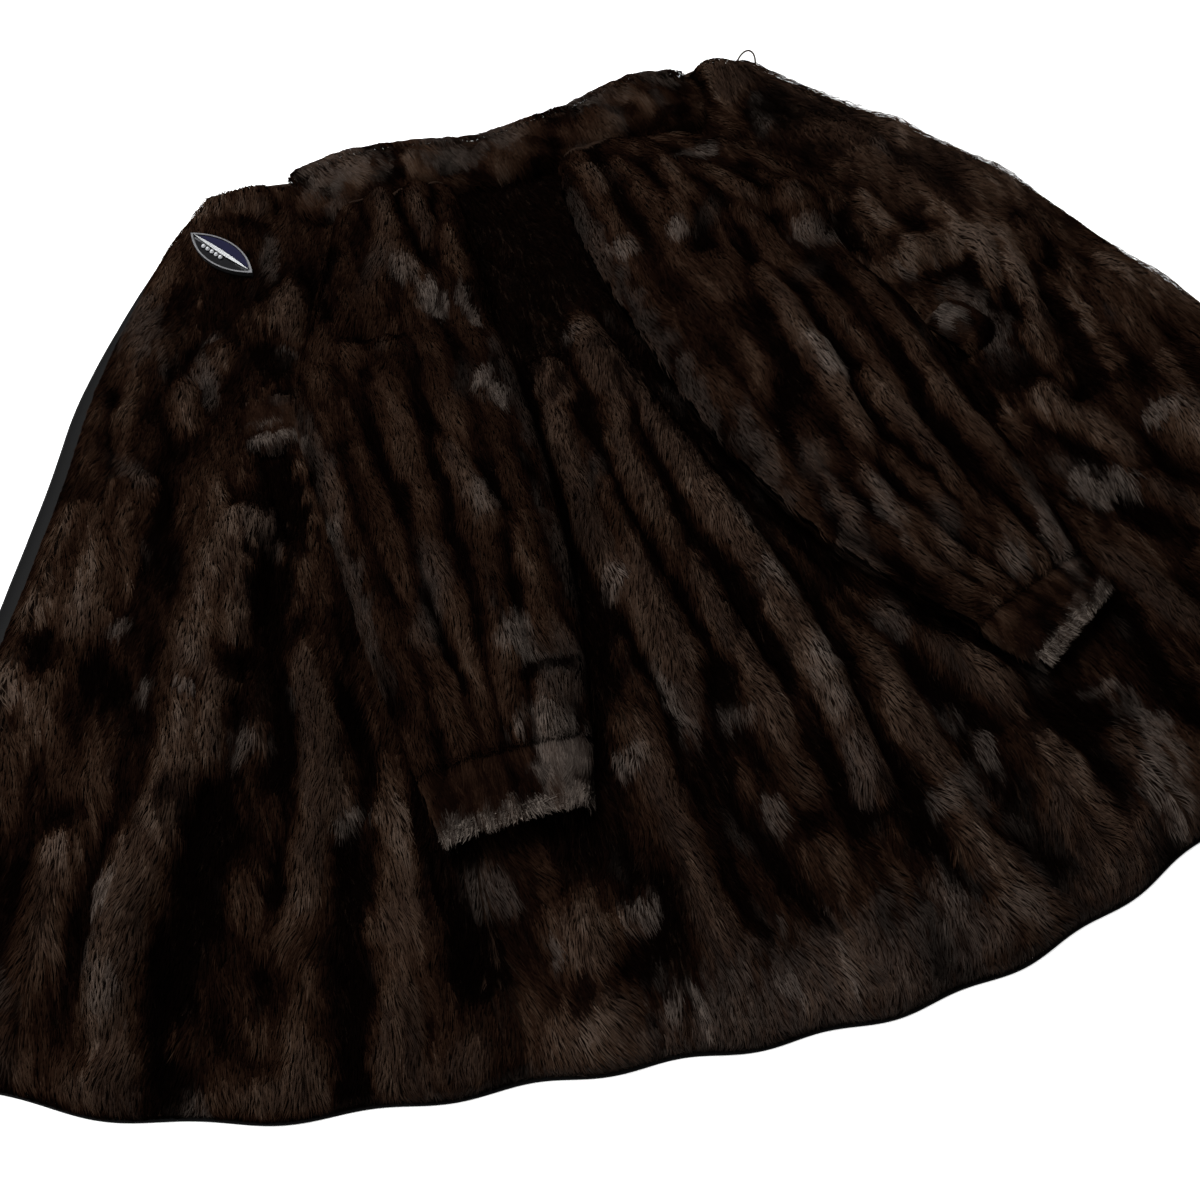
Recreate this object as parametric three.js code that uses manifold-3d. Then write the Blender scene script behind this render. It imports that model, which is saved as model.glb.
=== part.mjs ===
// A dark brown mink swing coat, laid open on its lining with the fur side up.
// Millimetres, +Z up. The back lies in the middle, the sleeves lie down over the body, and the two fronts
// are opened out to the sides. The plan is drawn with y towards the collar, then moved so that the origin
// lies under the middle of the whole coat.

import * as THREE from 'three';
import Module from 'manifold-3d';
import { mergeVertices } from 'three/addons/utils/BufferGeometryUtils.js';

// Driving sizes

const seam = 0.3; // between neighbouring pieces
const pelt = 12; // leather, lining and standing pile
const edgePile = 5; // the pile thins to this at a cut edge
const edgeTaper = 18; // how far in from the edge the pile thins
const foldSlack = 3; // a fold lifts the lining once it is higher than this
const hemRadius = 1090;
const hemCentre = [10, 1168];
const hemSwell = 6.5; // the hem lies in two broad swells
const hemSwellTurns = 8.05; // radians of swell for each half width
const hemSwellAt = 0.09;
const hemSwellDrop = 1.3; // the swells lie this many times their height above the arc
const hemWaves = 13;
const hemWaveDepth = 1.8;
const sideSeamAt = 0.36; // share of the half width from the centre back to a side seam
const liningThick = 1.6;
const liningFrontWidth = 14;
const liningHemWidth = 3;
const sleeveUnderWall = 6;
const sleeveOverWall = 8;
const sleeveSideWall = 13;

// The outline of the body, on the surface it lies on

const leftEdge = [
  // x, y from the top corner to the hem corner
  [-258, 896],
  [-312, 832],
  [-380, 720],
  [-428, 615],
  [-516, 443],
  [-612, 273],
];
const rightEdge = [
  [254, 878],
  [340, 768],
  [395, 684],
  [433, 582],
  [469, 490],
  [582, 240],
];
const topEdge = [
  // x, y along the shoulders and the neck
  [-258, 896],
  [-212, 892],
  [-127, 877],
  [0, 866],
  [105, 876],
  [205, 905],
  [254, 878],
];

// Long folds of the body: crest x at the upper end, middle and lower end, with widths to each side
const bodyFolds = [
  { yTop: 620, yLow: 350, x: [-66, -71, -72], left: 9, right: 12, high: 12 },
  { yTop: 640, yLow: 265, x: [-50, -44, -68], left: 14, right: 24, high: 16 },
  { yTop: 640, yLow: 180, x: [-14, -14, -14], left: 14, right: 10, high: 12 },
  { yTop: 640, yLow: 160, x: [-8, 22, 27], left: 20, right: 11, high: 20 },
  { yTop: 480, yLow: 150, x: [48, 66, 84], left: 16, right: 14, high: 7 },
  { yTop: 330, yLow: 105, x: [58, 66, 72], left: 14, right: 12, high: 7 },
  { yTop: 330, yLow: 100, x: [-98, -100, -98], left: 14, right: 14, high: 7 },
  { yTop: 330, yLow: 100, x: [120, 150, 175], left: 18, right: 14, high: 8 },
  { yTop: 330, yLow: 110, x: [250, 300, 350], left: 18, right: 14, high: 9 },
  { yTop: 260, yLow: 110, x: [-160, -172, -190], left: 16, right: 16, high: 6 },
  { yTop: 440, yLow: 250, x: [-283, -300, -318], left: 14, right: 12, high: 8 },
  { yTop: 580, yLow: 190, x: [-288, -362, -458], left: 36, right: 11, high: 13 },
  { yTop: 780, yLow: 480, x: [-322, -362, -415], left: 26, right: 20, high: 5 },
  { yTop: 420, yLow: 190, x: [-430, -478, -525], left: 26, right: 16, high: 6 },
  { yTop: 300, yLow: 130, x: [-262, -285, -310], left: 16, right: 14, high: 6 },
  { yTop: 480, yLow: 260, x: [290, 322, 352], left: 14, right: 18, high: 9 },
  { yTop: 430, yLow: 210, x: [372, 412, 446], left: 18, right: 16, high: 8 },
  { yTop: 800, yLow: 620, x: [268, 300, 322], left: 20, right: 24, high: 7 },
];

// Round swellings and dips: middle, half sizes, height
const bodyLumps = [
  { x: 202, y: 868, wide: 32, long: 24, high: 22 },
  { x: 298, y: 592, wide: 52, long: 40, high: 20 },
  { x: 368, y: 660, wide: 34, long: 44, high: 9 },
  { x: 432, y: 520, wide: 30, long: 30, high: 9 },
  { x: 360, y: 560, wide: 26, long: 30, high: -4 },
  { x: 330, y: 762, wide: 30, long: 26, high: 6 },
  { x: -222, y: 868, wide: 34, long: 20, high: 8 },
  { x: -230, y: 740, wide: 22, long: 34, high: 7 },
];

// The sleeves, in rows from the armhole to the cuff: the left and right edge of the flattened tube and its
// height off the body. The last two rows are the cuff band.
const sleeveLeftRows = [
  { lx: -163, ly: 816, rx: -66, ry: 816, high: 30 },
  { lx: -180, ly: 770, rx: -66, ry: 768, high: 42 },
  { lx: -212, ly: 700, rx: -74, ry: 697, high: 44 },
  { lx: -236, ly: 652, rx: -80, ry: 655, high: 35 },
  { lx: -247, ly: 600, rx: -80, ry: 602, high: 44 },
  { lx: -248, ly: 500, rx: -88, ry: 500, high: 46 },
  { lx: -247, ly: 400, rx: -104, ry: 396, high: 42 },
  { lx: -243, ly: 314, rx: -128, ry: 303, high: 32 },
  { lx: -240, ly: 270, rx: -140, ry: 265, high: 29 },
];
const sleeveRightRows = [
  { lx: 32, ly: 814, rx: 120, ry: 800, high: 30 },
  { lx: 18, ly: 764, rx: 176, ry: 752, high: 44 },
  { lx: 13, ly: 700, rx: 214, ry: 688, high: 48 },
  { lx: 17, ly: 640, rx: 208, ry: 622, high: 44 },
  { lx: 26, ly: 560, rx: 228, ry: 545, high: 46 },
  { lx: 42, ly: 470, rx: 231, ry: 450, high: 46 },
  { lx: 80, ly: 370, rx: 236, ry: 378, high: 42 },
  { lx: 138, ly: 286, rx: 237, ry: 314, high: 32 },
  { lx: 165, ly: 247, rx: 241, ry: 287, high: 29 },
];
const cuffRow = 7; // the row where the sleeve is gathered into its cuff

// Long folds of a sleeve: place across it (-1 to 1) at the head, middle and cuff, and share of its length
const sleeveLeftFolds = [
  { at: [-0.78, -0.86, -0.72], from: 0.0, to: 1.0, wide: 0.12, high: 4 },
  { at: [-0.42, -0.5, -0.45], from: 0.3, to: 1.0, wide: 0.12, high: 7 },
  { at: [-0.05, -0.14, -0.16], from: 0.34, to: 1.0, wide: 0.11, high: 6 },
  { at: [0.3, 0.3, 0.16], from: 0.3, to: 1.0, wide: 0.14, high: 7 },
  { at: [0.75, 0.7, 0.5], from: 0.28, to: 1.0, wide: 0.14, high: 6 },
  { at: [-0.2, -0.2, -0.2], from: 0.0, to: 0.3, wide: 0.16, high: 7 },
  { at: [0.4, 0.4, 0.4], from: 0.0, to: 0.3, wide: 0.2, high: 8 },
];
const sleeveRightFolds = [
  { at: [-0.8, -0.84, -0.7], from: 0.0, to: 1.0, wide: 0.12, high: 6 },
  { at: [-0.35, -0.45, -0.42], from: 0.05, to: 1.0, wide: 0.11, high: 7 },
  { at: [0.0, -0.06, -0.1], from: 0.1, to: 1.0, wide: 0.11, high: 9 },
  { at: [0.3, 0.32, 0.22], from: 0.15, to: 1.0, wide: 0.11, high: 8 },
  { at: [0.6, 0.74, 0.6], from: 0.0, to: 1.0, wide: 0.14, high: 7 },
  { at: [0.82, 0.9, 0.9], from: 0.0, to: 0.34, wide: 0.16, high: 8 },
];

// The collar, a doubled roll: its height off the body along its length
const collarRows = [
  { x: -190, low: 828, top: 884, high: 14 },
  { x: -142, low: 822, top: 884, high: 25 },
  { x: -94, low: 822, top: 879, high: 27 },
  { x: -44, low: 822, top: 869, high: 20 },
  { x: 8, low: 820, top: 866, high: 25 },
  { x: 62, low: 820, top: 872, high: 29 },
  { x: 118, low: 818, top: 886, high: 32 },
  { x: 172, low: 822, top: 898, high: 21 },
];

// Pockets: the hollow below each lip, and the lip itself
const pockets = [
  { side: 'left', x: -270, y: 566, wide: 13, long: 44, lipX: -264, lipY: 632, lipTurn: -0.12 },
  { side: 'right', x: 250, y: 486, wide: 12, long: 38, lipX: 266, lipY: 536, lipTurn: 0.5 },
];
const pocketDeep = 8;
const lipWide = 34;
const lipLong = 40;
const lipThick = 8;

// The button, a leaf-shaped dish
const button = { x: -263, y: 813, z: pelt + seam, turn: -1.024, long: 73, wide: 26 };
const dishDeep = 4.2;
const dishFloor = 1.6;
const dishRim = 1.2;
const faceThick = 1.6;
const ridgeWide = 3.6;
const ridgeHigh = 3.4;
const stoneRadius = 1.9;
const stoneHigh = 2.4;
const stoneCount = 5;

// The thread loop on the other front
const loop = { x: 241.4, y: 889.5, out: 16, half: 7, turn: 0.88, tilt: 0.8, z: 4.2, thread: 0.9 };

// The middle of the whole coat in its plan, which becomes the origin
const planMiddle = [-20.5, 490.6];

// Colours from the photograph

const furDark = new THREE.MeshStandardMaterial({ color: 0x2a1c14, roughness: 0.85, metalness: 0 });
const furWarm = new THREE.MeshStandardMaterial({ color: 0x3a281c, roughness: 0.85, metalness: 0 });
const satin = new THREE.MeshStandardMaterial({ color: 0x1b1b1d, roughness: 0.45, metalness: 0 });
const silver = new THREE.MeshStandardMaterial({ color: 0xc9ccd2, roughness: 0.25, metalness: 1 });
const navy = new THREE.MeshStandardMaterial({ color: 0x15163a, roughness: 0.3, metalness: 0 });
const black = new THREE.MeshStandardMaterial({ color: 0x0b0b0e, roughness: 0.3, metalness: 0 });
const clearStone = new THREE.MeshStandardMaterial({ color: 0xeef2f6, roughness: 0.08, metalness: 0 });
const thread = new THREE.MeshStandardMaterial({ color: 0x3c3129, roughness: 0.8, metalness: 0 });

// Small mathematics

const clamp = (value, low, high) => Math.min(Math.max(value, low), high);
const mix = (a, b, t) => a + (b - a) * t;
const range = (count) => Array.from({ length: count + 1 }, (_, i) => i / count);

function smooth(low, high, value) {
  const t = clamp((value - low) / (high - low), 0, 1);
  return t * t * (3 - 2 * t);
}

// Smooth curve through numbers that are evenly spaced in t from 0 to 1
function through(values, t) {
  const last = values.length - 1;
  const place = clamp(t, 0, 1) * last;
  const i = Math.min(Math.floor(place), last - 1);
  const f = place - i;
  const at = (k) => values[clamp(k, 0, last)];
  const [a, b, c, d] = [at(i - 1), at(i), at(i + 1), at(i + 2)];
  return b + 0.5 * f * (c - a + f * (2 * a - 5 * b + 4 * c - d + f * (3 * (b - c) + d - a)));
}

const alongPoints = (points, t) => [
  through(points.map((p) => p[0]), t),
  through(points.map((p) => p[1]), t),
];
const alongRows = (rows, name, t) => through(rows.map((row) => row[name]), t);

// The x of a sleeve's edge at a height y of the plan
function edgeAt(rows, xName, yName, y) {
  if (y >= rows[0][yName]) return rows[0][xName];
  for (let i = 1; i < rows.length; i += 1) {
    const [above, below] = [rows[i - 1], rows[i]];
    if (y >= below[yName]) {
      return mix(below[xName], above[xName], (y - below[yName]) / (above[yName] - below[yName]));
    }
  }
  return rows.at(-1)[xName];
}

// The body's plan: u runs from the left front edge (-1) to the right one (1), v from the neck to the hem

function hemPoint(u) {
  const angleOf = ([x, y]) => Math.atan2(x - hemCentre[0], hemCentre[1] - y);
  const angle = mix(angleOf(leftEdge.at(-1)), angleOf(rightEdge.at(-1)), (u + 1) / 2);
  const calm = 1 - smooth(0.93, 1, Math.abs(u));
  const swell = hemSwell * (Math.cos(hemSwellTurns * (u - hemSwellAt)) - hemSwellDrop);
  const scallop = hemWaveDepth * Math.cos(hemWaves * Math.PI * u + 2 * Math.sin(3 * u));
  const radius = hemRadius + calm * (swell + scallop);
  return [hemCentre[0] + radius * Math.sin(angle), hemCentre[1] - radius * Math.cos(angle)];
}

// A patch between its four edges: each pair of edges is blended, less the blend of the corners
function bodyPlan(u, v) {
  const s = (u + 1) / 2;
  const [top, hem] = [alongPoints(topEdge, s), hemPoint(u)];
  const [left, right] = [alongPoints(leftEdge, v), alongPoints(rightEdge, v)];
  const [hemLeft, hemRight] = [hemPoint(-1), hemPoint(1)];
  return [0, 1].map((k) => {
    const corners = mix(mix(topEdge[0][k], topEdge.at(-1)[k], s), mix(hemLeft[k], hemRight[k], s), v);
    return mix(top[k], hem[k], v) + mix(left[k], right[k], s) - corners;
  });
}

// How far a place is covered by something that lies flat on it, from 0 to 1
function coverOf(x, y) {
  const under = (left, right, low, high, clear = 8, fade = 18) =>
    smooth(-fade, -clear, Math.min(x - left, right - x)) * smooth(-64, -42, Math.min(y - low, high - y));
  const collar = under(collarRows[0].x, collarRows.at(-1).x, 818, 960, 14, 30);
  const sleeves = [sleeveLeftRows, sleeveRightRows].map((rows) => {
    const low = Math.min(rows.at(-1).ly, rows.at(-1).ry);
    return under(edgeAt(rows, 'lx', 'ly', y), edgeAt(rows, 'rx', 'ry', y), low, 830);
  });
  const lips = pockets.map((p) =>
    under(p.lipX - lipWide / 2, p.lipX + lipWide / 2, p.lipY - lipLong / 2, p.lipY + lipLong / 2, 24, 36));
  const plate = 1 - smooth(button.long * 0.76, button.long * 0.94, Math.hypot(x - button.x, y - button.y));
  return Math.max(collar, ...sleeves, ...lips, plate);
}

function foldHeight(fold, x, y) {
  const t = (fold.yTop - y) / (fold.yTop - fold.yLow);
  if (t < -0.2 || t > 1.2) return 0;
  const away = x - through(fold.x, t);
  const width = away < 0 ? fold.left : fold.right;
  const ends = smooth(-0.1, 0.15, t) * (1 - smooth(0.72, 1.1, t));
  return fold.high * ends * Math.exp(-((away / width) ** 2));
}

const lumpHeight = (lump, x, y) =>
  lump.high * Math.exp(-(((x - lump.x) / lump.wide) ** 2) - ((y - lump.y) / lump.long) ** 2);

// How high the pelt is lifted off the surface it lies on
function bodyLift(x, y, u, v) {
  const folds = bodyFolds.reduce((sum, fold) => sum + foldHeight(fold, x, y), 0);
  const lumps = bodyLumps.reduce((sum, lump) => sum + lumpHeight(lump, x, y), 0);
  const ripple = 3.5 * v * v * (0.5 + 0.5 * Math.cos(hemWaves * Math.PI * u + 2 * Math.sin(3 * u)));
  return Math.max(0, folds + lumps + ripple) * (1 - coverOf(x, y));
}

function pocketDip(x, y) {
  return pockets.reduce((most, p) => {
    const inside = 1 - smooth(0.75, 1.1, Math.hypot((x - p.x) / p.wide, ((y - p.y) / p.long) ** 3));
    return Math.max(most, pocketDeep * inside);
  }, 0);
}

// The top and the underside of the pelt at a place of the body
function bodyPoint(u, v) {
  const [x, y] = bodyPlan(u, v);
  const lift = bodyLift(x, y, u, v);
  const toFront = (1 - Math.abs(u)) * mix(268, 597, v);
  const toEnds = Math.min(v * 760, (1 - v) * 760);
  const full = smooth(0, edgeTaper, Math.min(toFront, toEnds));
  const bottom = Math.max(0, lift - foldSlack) * full;
  const top = Math.max(bottom + edgePile, lift * full + mix(edgePile, pelt, full) - pocketDip(x, y));
  return { x, y, bottom, top };
}

// Meshes

function meshOf(points, triangles) {
  const geometry = new THREE.BufferGeometry();
  geometry.setAttribute('position', new THREE.Float32BufferAttribute(points.flat(), 3));
  geometry.setIndex(triangles.flat());
  geometry.computeVertexNormals();
  return geometry;
}

// A wall between an upper and a lower grid of points. Rows run towards the hem, columns to the right.
function wallOf(upper, lower) {
  const [rows, columns] = [upper.length, upper[0].length];
  const points = [...upper.flat(), ...lower.flat()];
  const up = (i, j) => i * columns + j;
  const down = (i, j) => rows * columns + i * columns + j;
  const triangles = [];
  const quad = (a, b, c, d) => triangles.push([a, b, c], [a, c, d]);
  for (let i = 0; i + 1 < rows; i += 1) {
    for (let j = 0; j + 1 < columns; j += 1) {
      quad(up(i, j), up(i + 1, j), up(i + 1, j + 1), up(i, j + 1));
      quad(down(i, j), down(i, j + 1), down(i + 1, j + 1), down(i + 1, j));
    }
    quad(up(i + 1, 0), up(i, 0), down(i, 0), down(i + 1, 0));
    quad(up(i, columns - 1), up(i + 1, columns - 1), down(i + 1, columns - 1), down(i, columns - 1));
  }
  for (let j = 0; j + 1 < columns; j += 1) {
    quad(up(0, j), up(0, j + 1), down(0, j + 1), down(0, j));
    quad(up(rows - 1, j + 1), up(rows - 1, j), down(rows - 1, j), down(rows - 1, j + 1));
  }
  return meshOf(points, triangles);
}

// An open tube between an outer and an inner run of rings
function tubeOf(outer, inner) {
  const [rows, around] = [outer.length, outer[0].length];
  const points = [...outer.flat(), ...inner.flat()];
  const out = (i, k) => i * around + (k % around);
  const into = (i, k) => rows * around + i * around + (k % around);
  const triangles = [];
  const quad = (a, b, c, d) => triangles.push([a, b, c], [a, c, d]);
  for (let k = 0; k < around; k += 1) {
    for (let i = 0; i + 1 < rows; i += 1) {
      quad(out(i, k), out(i + 1, k), out(i + 1, k + 1), out(i, k + 1));
      quad(into(i, k), into(i, k + 1), into(i + 1, k + 1), into(i + 1, k));
    }
    quad(out(0, k), out(0, k + 1), into(0, k + 1), into(0, k));
    quad(out(rows - 1, k + 1), out(rows - 1, k), into(rows - 1, k), into(rows - 1, k + 1));
  }
  return meshOf(points, triangles);
}

const placed = (x, y, z) => [x - planMiddle[0], y - planMiddle[1], z];

// The body panels

const backColumns = 34;
const frontColumns = 16;
const panelRows = [0, 0.014, ...range(21).map((t) => mix(0.03, 0.972, t)), 0.988, 1];

// The places across a panel, closer together near a front edge
function panelColumns(uFrom, uTo, columns) {
  const inner = range(columns).map((t) => mix(uFrom, uTo, t));
  const edges = [uFrom, uTo].filter((u) => Math.abs(u) === 1);
  const extra = edges.flatMap((u) => [0.985 * u, 0.965 * u]);
  return [...inner, ...extra].sort((a, b) => a - b);
}

function bodyPanel(uFrom, uTo, columns) {
  const across = panelColumns(uFrom, uTo, columns);
  const side = (u) => (Math.abs(u) === 1 ? 0 : (u === uFrom ? seam : -seam) / 2);
  const grid = panelRows.map((v) => across.map((u) => {
    const point = bodyPoint(u, v);
    return { ...point, x: point.x + (u === uFrom || u === uTo ? side(u) : 0) };
  }));
  const layer = (name) => grid.map((row) => row.map((p) => placed(p.x, p.y, p[name])));
  return wallOf(layer('top'), layer('bottom'));
}

// The sleeves and cuffs

const overSteps = 20;
const underSteps = 6;

// The ring of places across a flattened tube: over from left to right, then back under it
function ringPlaces() {
  const over = range(overSteps).map((t) => ({ t: mix(2 * t - 1, -Math.cos(Math.PI * t), 0.4), above: true }));
  const under = range(underSteps).slice(1, -1).map((t) => ({ t: Math.cos(Math.PI * t), above: false }));
  return [...over, ...under];
}

function sleeveFoldHeight(folds, s, t) {
  return folds.reduce((sum, fold) => {
    const along = (s - fold.from) / (fold.to - fold.from);
    if (along < 0 || along > 1) return sum;
    const fade = smooth(0, 0.15, along) * (fold.to === 1 ? 1 : 1 - smooth(0.8, 1, along));
    return sum + fold.high * fade * Math.exp(-(((t - through(fold.at, s)) / fold.wide) ** 2));
  }, 0);
}

// One ring of the tube, s from the armhole (0) to the end of the cuff (1)
function sleeveRings(rows, folds, s, cuffShare) {
  const value = (name) => alongRows(rows, name, s);
  const [lx, ly, rx, ry, high] = ['lx', 'ly', 'rx', 'ry', 'high'].map(value);
  const base = pelt + 0.4;
  const width = Math.hypot(rx - lx, ry - ly);
  const narrow = 1 - (2 * sleeveSideWall) / width;
  const gathers = 1 - 0.75 * smooth(cuffShare - 0.02, cuffShare + 0.02, s);
  const edgeShare = 0.42;
  const outer = ringPlaces().map(({ t, above }) => {
    const round = Math.sqrt(Math.max(0, 1 - Math.abs(t) ** (above ? 3 : 10)));
    const fold = gathers * sleeveFoldHeight(folds, s, t) * (1 - Math.abs(t) ** 6);
    const over = high * mix(edgeShare, 1, round) - 5 * round + fold;
    const z = above ? over : high * edgeShare * (1 - round);
    return placed(mix(lx, rx, (t + 1) / 2), mix(ly, ry, (t + 1) / 2), base + z);
  });
  const innerTop = high - 5 - sleeveOverWall;
  const innerMiddle = mix(sleeveUnderWall, innerTop, 0.4);
  const inner = ringPlaces().map(({ t, above }) => {
    const round = Math.sqrt(Math.max(0, 1 - Math.abs(t) ** (above ? 3 : 6)));
    const z = mix(innerMiddle, above ? innerTop : sleeveUnderWall, round);
    const place = (t * narrow + 1) / 2;
    return placed(mix(lx, rx, place), mix(ly, ry, place), base + z);
  });
  return { outer, inner };
}

function sleevePieces(rows, folds) {
  const last = rows.length - 1;
  const cuffShare = cuffRow / last;
  const length = (from, to) => Math.hypot(
    (rows[to].lx + rows[to].rx - rows[from].lx - rows[from].rx) / 2,
    (rows[to].ly + rows[to].ry - rows[from].ly - rows[from].ry) / 2,
  );
  const gap = (seam / length(cuffRow, last)) * (1 - cuffShare);
  const tube = (from, to, steps) => {
    const rings = range(steps).map((t) => sleeveRings(rows, folds, mix(from, to, t), cuffShare));
    return tubeOf(rings.map((ring) => ring.outer), rings.map((ring) => ring.inner));
  };
  return { sleeve: tube(0, cuffShare, 19), cuff: tube(cuffShare + gap, 1, 3) };
}

// The collar lies over the neck edge of the body
function collarWall() {
  const along = range(26).map((t) => mix(t, 0.5 - 0.5 * Math.cos(Math.PI * t), 0.5));
  const across = [-1, -0.92, -0.7, -0.3, 0.1, 0.5, 0.8, 0.94, 1];
  const base = pelt + seam;
  const point = (w, t, above) => {
    const value = (name) => alongRows(collarRows, name, t);
    const end = Math.sqrt(Math.max(0, 1 - Math.abs(2 * t - 1) ** 7));
    const middle = (value('low') + value('top')) / 2;
    const half = ((value('top') - value('low')) / 2) * mix(0.55, 1, end);
    const round = Math.sqrt(Math.max(0, 1 - Math.abs(w) ** 2.6)) * mix(0.2, 1, end);
    const crumple = 1.6 * Math.sin(26 * t + 2 * w) * round;
    const z = above ? 6 + (value('high') - 6) * round + crumple : 2.4 * (1 - round) ** 2;
    return placed(value('x'), middle - w * half, base + z);
  };
  const layer = (above) => across.map((w) => along.map((t) => point(w, t, above)));
  return wallOf(layer(true), layer(false));
}

// The lip over a pocket hollow lies on its front, made from that front's flat top
function pocketLip(p) {
  const steps = [-1, -0.85, -0.45, 0, 0.45, 0.85, 1];
  const [cos, sin] = [Math.cos(p.lipTurn), Math.sin(p.lipTurn)];
  const point = (a, b, above) => {
    const arch = 5 * (1 - a * a);
    const [x, y] = [(a * lipWide) / 2, (b * lipLong) / 2 + (b < 0 ? arch * b : 0)];
    const round = Math.sqrt(Math.max(0, (1 - a ** 4) * (1 - b ** 6)));
    const z = above ? 3 + (lipThick - 3) * round : 0;
    return placed(p.lipX + x * cos - y * sin, p.lipY + x * sin + y * cos, pelt + seam + z);
  };
  const layer = (above) => [...steps].reverse().map((b) => steps.map((a) => point(a, b, above)));
  return wallOf(layer(true), layer(false));
}

// The direction away from the coat at each point of an edge that has the coat on its left
function awayFrom(points, i) {
  const [a, b] = [points[Math.max(i - 1, 0)], points[Math.min(i + 1, points.length - 1)]];
  const length = Math.hypot(b[0] - a[0], b[1] - a[1]);
  return [(b[1] - a[1]) / length, (a[0] - b[0]) / length];
}

// A flat strip of lining outside an edge of the pelt
function liningStrip(points, widthAt) {
  const line = (offset, z) => points.map(([x, y], i) => {
    const [nx, ny] = awayFrom(points, i);
    return placed(x + nx * offset(i), y + ny * offset(i), z);
  });
  const near = () => seam;
  const far = (i) => seam + widthAt(i);
  const layer = (z) => [line(near, z), line(far, z)];
  return wallOf(layer(liningThick), layer(0));
}

function liningHem() {
  const left = panelColumns(-1, -sideSeamAt, frontColumns);
  const back = panelColumns(-sideSeamAt, sideSeamAt, backColumns).slice(1, -1);
  const right = panelColumns(sideSeamAt, 1, frontColumns);
  const points = [...left, ...back, ...right].map((u) => bodyPlan(u, 1));
  return liningStrip(points, () => liningHemWidth);
}

function liningFrontEdge() {
  const points = panelRows.filter((v) => v > 0.08).map((v) => bodyPlan(-1, v));
  return liningStrip(points, (i) => mix(1.2, liningFrontWidth, smooth(0, 9, i)));
}

// The button

function leafShape(long, wide) {
  const half = long / 2;
  const radius = (half * half + (wide / 2) ** 2) / wide;
  const angle = Math.asin(half / radius);
  const shape = new THREE.Shape();
  shape.moveTo(-half, 0);
  shape.absarc(0, radius - wide / 2, radius, -Math.PI / 2 - angle, -Math.PI / 2 + angle, false);
  shape.absarc(0, wide / 2 - radius, radius, Math.PI / 2 - angle, Math.PI / 2 + angle, false);
  return shape;
}

const leafSegments = 12;
const leafPlate = (long, wide, depth) =>
  new THREE.ExtrudeGeometry(leafShape(long, wide), { depth, bevelEnabled: false, curveSegments: leafSegments });

const wasm = await Module();
wasm.setup();

function solidOf(geometry) {
  const bare = geometry.clone();
  bare.deleteAttribute('normal');
  bare.deleteAttribute('uv');
  const merged = mergeVertices(bare, 1e-4);
  const vertProperties = new Float32Array(merged.attributes.position.array);
  const triVerts = new Uint32Array(merged.index.array);
  return new wasm.Manifold(new wasm.Mesh({ numProp: 3, vertProperties, triVerts }));
}

function geometryOf(solid) {
  const { vertProperties, triVerts } = solid.getMesh();
  const geometry = new THREE.BufferGeometry();
  geometry.setAttribute('position', new THREE.BufferAttribute(new Float32Array(vertProperties), 3));
  geometry.setIndex([...triVerts]);
  geometry.computeVertexNormals();
  return geometry;
}

function buttonDish() {
  const body = solidOf(leafPlate(button.long, button.wide, dishDeep));
  const long = button.long - 4.4 * dishRim;
  const room = leafPlate(long, button.wide - 2 * dishRim, dishDeep);
  return geometryOf(body.subtract(solidOf(room.translate(0, 0, dishFloor))));
}

// Half of the leaf, beside the ridge
function buttonFace(side) {
  const long = button.long - 4.4 * dishRim - 2;
  const wide = button.wide - 2 * dishRim - 2 * seam;
  const face = solidOf(leafPlate(long, wide, faceThick));
  const away = ridgeWide / 2 + seam;
  const block = new THREE.BoxGeometry(2 * long, wide, 4 * faceThick);
  const cutter = solidOf(block.translate(0, side * (away - wide / 2), 0));
  return geometryOf(face.subtract(cutter)).translate(0, 0, dishFloor + seam);
}

const buttonRidge = () => leafPlate(button.long - 5 * dishRim - 3, ridgeWide, ridgeHigh)
  .translate(0, 0, dishFloor + seam);

function stone() {
  const profile = [
    new THREE.Vector2(0, 0),
    new THREE.Vector2(stoneRadius * 0.7, 0),
    new THREE.Vector2(stoneRadius, stoneHigh * 0.45),
    new THREE.Vector2(stoneRadius * 0.55, stoneHigh),
    new THREE.Vector2(0, stoneHigh),
  ];
  return new THREE.LatheGeometry(profile, 8).rotateX(Math.PI / 2);
}

// The thread loop starts and ends at the edge of the right front
function loopTube() {
  const points = range(8).map((t) => {
    const angle = mix(0.5 * Math.PI, -0.5 * Math.PI, t);
    return new THREE.Vector3(loop.out * Math.cos(angle), loop.half * Math.sin(angle) * 1.3, 0);
  });
  const section = new THREE.Shape();
  section.absarc(0, 0, loop.thread, 0, 2 * Math.PI, false);
  const path = new THREE.CatmullRomCurve3(points);
  return new THREE.ExtrudeGeometry(section, { steps: 16, extrudePath: path, bevelEnabled: false, curveSegments: 4 });
}

// The coat

const coat = new THREE.Group();

function add(name, geometry, material, parent = coat) {
  const mesh = new THREE.Mesh(geometry, material);
  mesh.name = name;
  parent.add(mesh);
  return mesh;
}

add('back', bodyPanel(-sideSeamAt, sideSeamAt, backColumns), furDark);
add('front_left', bodyPanel(-1, -sideSeamAt, frontColumns), furDark);
add('front_right', bodyPanel(sideSeamAt, 1, frontColumns), furDark);
add('collar', collarWall(), furWarm);

for (const [side, rows, folds] of [
  ['left', sleeveLeftRows, sleeveLeftFolds],
  ['right', sleeveRightRows, sleeveRightFolds],
]) {
  const pieces = sleevePieces(rows, folds);
  add(`sleeve_${side}`, pieces.sleeve, furWarm);
  add(`cuff_${side}`, pieces.cuff, furWarm);
}

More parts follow.
